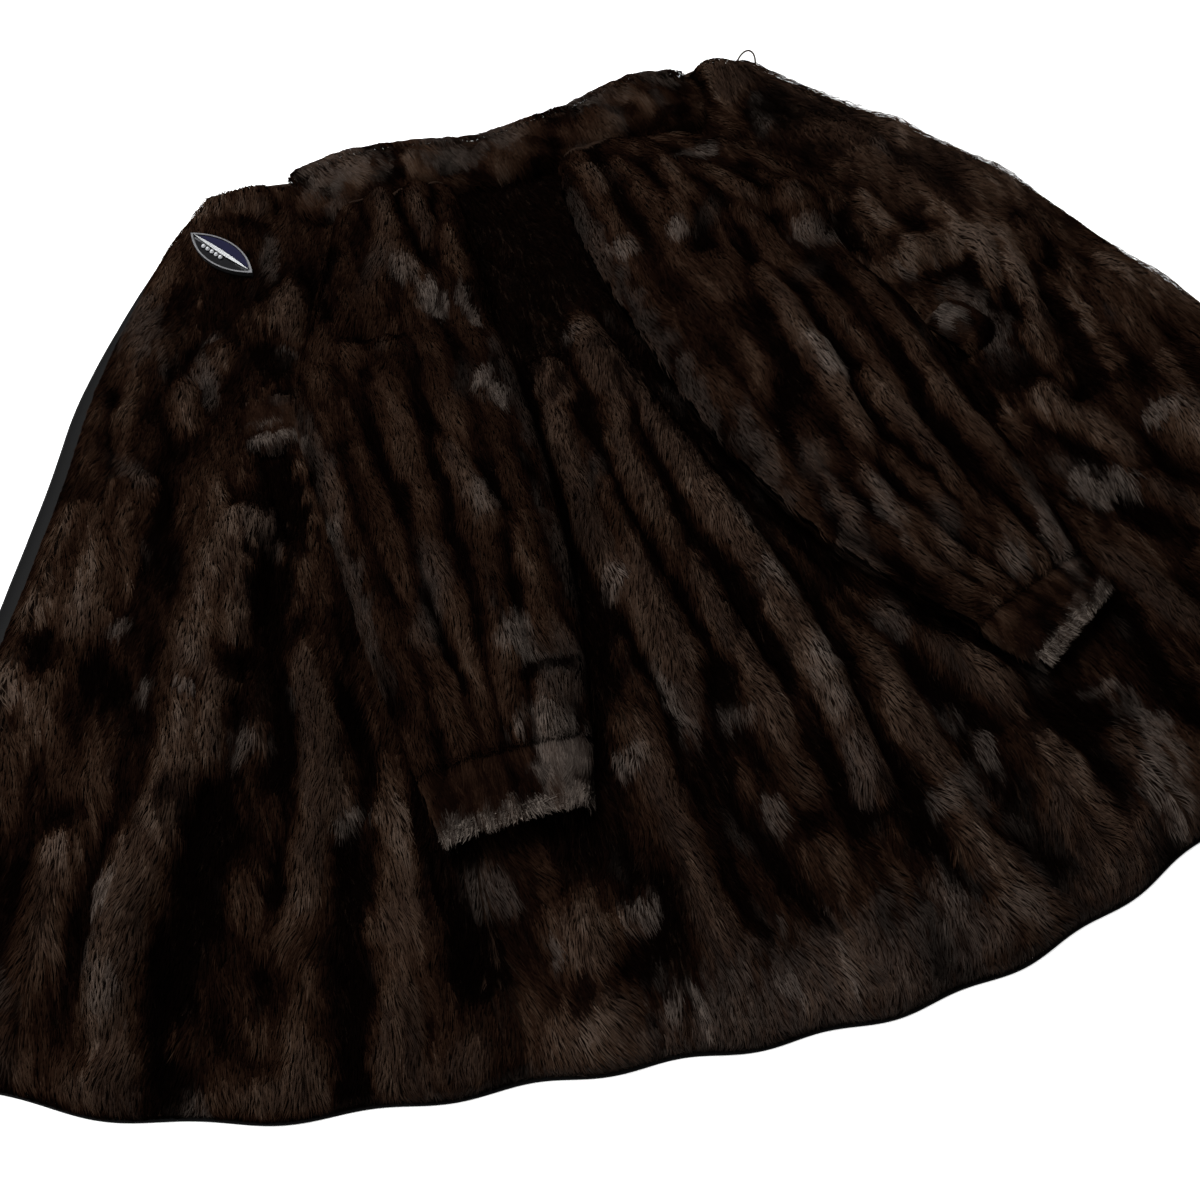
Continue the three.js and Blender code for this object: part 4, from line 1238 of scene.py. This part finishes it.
def sleeveCovered(x, y):
    # 1 well inside the places that a sleeve or the collar hides, 0 elsewhere
    hidden = [smooth(-150, -130, x) * smooth(150, 130, x) * smooth(836, 846, y)]
    for one in (leftSleeve, rightSleeve):
        left, right = (sleeveEdge(one["rows"], side, y) for side in (0, 1))
        low = min(one["rows"][-1][1], one["rows"][-1][3])
        inside = np.minimum(x - left, right - x)
        hidden.append(smooth(8, 16, inside) * smooth(low + 30, low + 50, y) * smooth(840, 820, y))
    return np.maximum.reduce(hidden)


for number, panel in enumerate(panels):
    makePanel(panel, 100 + 10 * number)

# The sleeves and cuffs
tubes = [
    dict(name="left", form=leftSleeve, locks=50000, cuffLocks=9000),
    dict(name="right", form=rightSleeve, locks=56000, cuffLocks=10000),
]
ringSteps = 34


def makeTube(name, one, start, end, rows, locks, cuff, seed):
    s = np.linspace(start, end, rows)
    outer, inner, above, t, ridge = sleeveRing(one, s, ringSteps)
    leather = tubeMesh("leather_" + name, outer, inner, underfur)
    closed = np.concatenate([outer, outer[:, :1]], 1)
    over = np.concatenate([above, above[:, :1]], 1).astype(float)
    side = np.concatenate([np.abs(t), np.abs(t[:, :1])], 1)
    weight = np.where(over > 0.5, 1.0, smooth(0.9, 0.99, side))
    # the hair lies flat at the head of the sleeve, where the collar rests on it
    headed = np.ones(rows) if cuff else mix(0.5, 1.0, smooth(0, 0.03, s))
    depth = sleeve["furDepth"] * headed[:, None] * np.ones(weight.shape)
    ridge = np.concatenate([ridge, ridge[:, :1]], 1)
    colour = sleeveColour(start, end, rows, cuff, ridge, one["patches"], one["tone"])
    hairs = growFur("fur_" + name, closed, depth, weight, locks, colour, minkHair, seed,
                    hang=12 if cuff else 6, long=1.3 if cuff else 1)
    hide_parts(name)
    print("tube", name, "with", locks, "locks")


for number, tube in enumerate(tubes):
    cuffAt = sleeve["cuffAt"]
    makeTube("sleeve_" + tube["name"], tube["form"], 0.0, cuffAt, 100, tube["locks"], False,
             200 + 20 * number)
    makeTube("cuff_" + tube["name"], tube["form"], cuffAt + sleeve["seam"], 1.0, 10, tube["cuffLocks"],
             True, 210 + 20 * number)


# Painted sheen on the collar: middle, half sizes and strength
collarSheenPatches = [
    (-150, 862, 30, 14, 0.25),
    (-60, 850, 24, 12, 0.2),
    (70, 870, 24, 14, 0.25),
    (140, 880, 20, 12, 0.2),
]


def makeCollar():
    across = np.concatenate([[-1, -0.97], np.linspace(-0.9, 0.9, 13), [0.97, 1]])
    along = mix(np.linspace(0, 1, 74), 0.5 - 0.5 * np.cos(math.pi * np.linspace(0, 1, 74)), 0.5)
    upper, lower, crumple = collarGrid(across, along)
    leather = wallMesh("leather_collar", upper, lower, underfur)
    depth = np.full(upper.shape[:2], collar["furDepth"] + 1)
    weight = np.ones(upper.shape[:2])
    colour = plainColour(0.38, 0.0, 41, crumple, collarSheenPatches)
    turned = plainColour(0.38, 0.0, 41, crumple[::-1, ::-1], collarSheenPatches)
    side = np.broadcast_to(across[:, None], weight.shape)
    downward = growFur("fur_collar_down", upper, depth, smooth(-0.8, -0.2, side), 17000, colour, minkHair,
                       300, turn=np.full(weight.shape, 0.35), hang=14, long=1.3)
    upward = growFur("fur_collar_up", upper[::-1, ::-1], depth, smooth(-0.2, -0.8, side)[::-1, ::-1], 8000, turned,
                     minkHair, 301, turn=np.full(weight.shape, 0.3), hang=5, long=1.2)
    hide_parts("collar")
    print("collar made")


def makeLip(p, seed):
    steps = np.array([-1, -0.93, -0.8, -0.6, -0.3, 0, 0.3, 0.6, 0.8, 0.93, 1])
    upper, lower = lipGrid(p, steps, steps[::-1])
    name = "pocket_lip_" + p["side"]
    leather = wallMesh("leather_" + name, upper, lower, underfur)
    depth = np.full(upper.shape[:2], 4.5)
    weight = np.ones(upper.shape[:2])
    colour = plainColour(0.32, 0.0, 51, patches=p["pale"])
    locks = growFur("fur_" + name, upper, depth, weight, 2600, colour, minkHair, seed,
                    hang=8)
    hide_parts(name)


makeCollar()
for number, p in enumerate(pockets):
    makeLip(p, 320 + number)
print("pocket lips made")

# The button and the loop keep their solids and get their finishes
finishes = dict(
    button_dish=dullMetal,
    button_face_upper=navyEnamel,
    # the lower face takes the near-black enamel as painted shade
    button_face_lower=enamelPaintedShade,
    button_ridge=silverMetal,
    button_loop=brownThread,
)
finishes.update({"button_stone_%d" % k: clearStone for k in range(1, 6)})
for name, material in finishes.items():
    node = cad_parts[name]
    if not node.material_slots:
        node.data.materials.append(material)
    for place in node.material_slots:
        place.material = material
print("button finished")


# The floor, the light and the picture's tones
def makeStage():
    half = 4.0
    mesh = bpy.data.meshes.new("floor")
    mesh.from_pydata([(-half, -half, 0), (half, -half, 0), (half, half, 0), (-half, half, 0)], [], [(0, 1, 2, 3)])
    material, nodes, links, shader = newMaterial("white_floor")
    shader.inputs["Base Color"].default_value = (0.9, 0.9, 0.9, 1)
    shader.inputs["Roughness"].default_value = 0.9
    shader.inputs["Emission Color"].default_value = (1, 1, 1, 1)
    shader.inputs["Emission Strength"].default_value = 0.5
    mesh.materials.append(material)
    floor = bpy.data.objects.new("floor", mesh)
    floor.location.z = -0.0004
    bpy.context.scene.collection.objects.link(floor)


lamps = [
    dict(name="sky", place=(-0.5, 0.9, 2.0), size=1.3, power=80),
    dict(name="window", place=(-1.9, -0.4, 1.1), size=0.8, power=16),
]


def makeLight():
    for lamp in lamps:
        data = bpy.data.lights.new(lamp["name"], "AREA")
        data.size = lamp["size"]
        data.energy = lamp["power"]
        light = bpy.data.objects.new(lamp["name"], data)
        light.location = lamp["place"]
        aim = -np.array(lamp["place"])
        light.rotation_mode = "XYZ"
        light.rotation_euler = (math.atan2(math.hypot(aim[0], aim[1]), -aim[2]), 0, math.atan2(-aim[0], aim[1]))
        bpy.context.scene.collection.objects.link(light)
    world = bpy.data.worlds.new("room")
    world.use_nodes = True
    world.node_tree.nodes["Background"].inputs["Color"].default_value = (1, 1, 1, 1)
    world.node_tree.nodes["Background"].inputs["Strength"].default_value = 0.24
    bpy.context.scene.world = world
    bpy.context.scene.view_settings.view_transform = "Standard"


makeStage()
makeLight()
bpy.context.view_layer.update()
print("coat dressed")
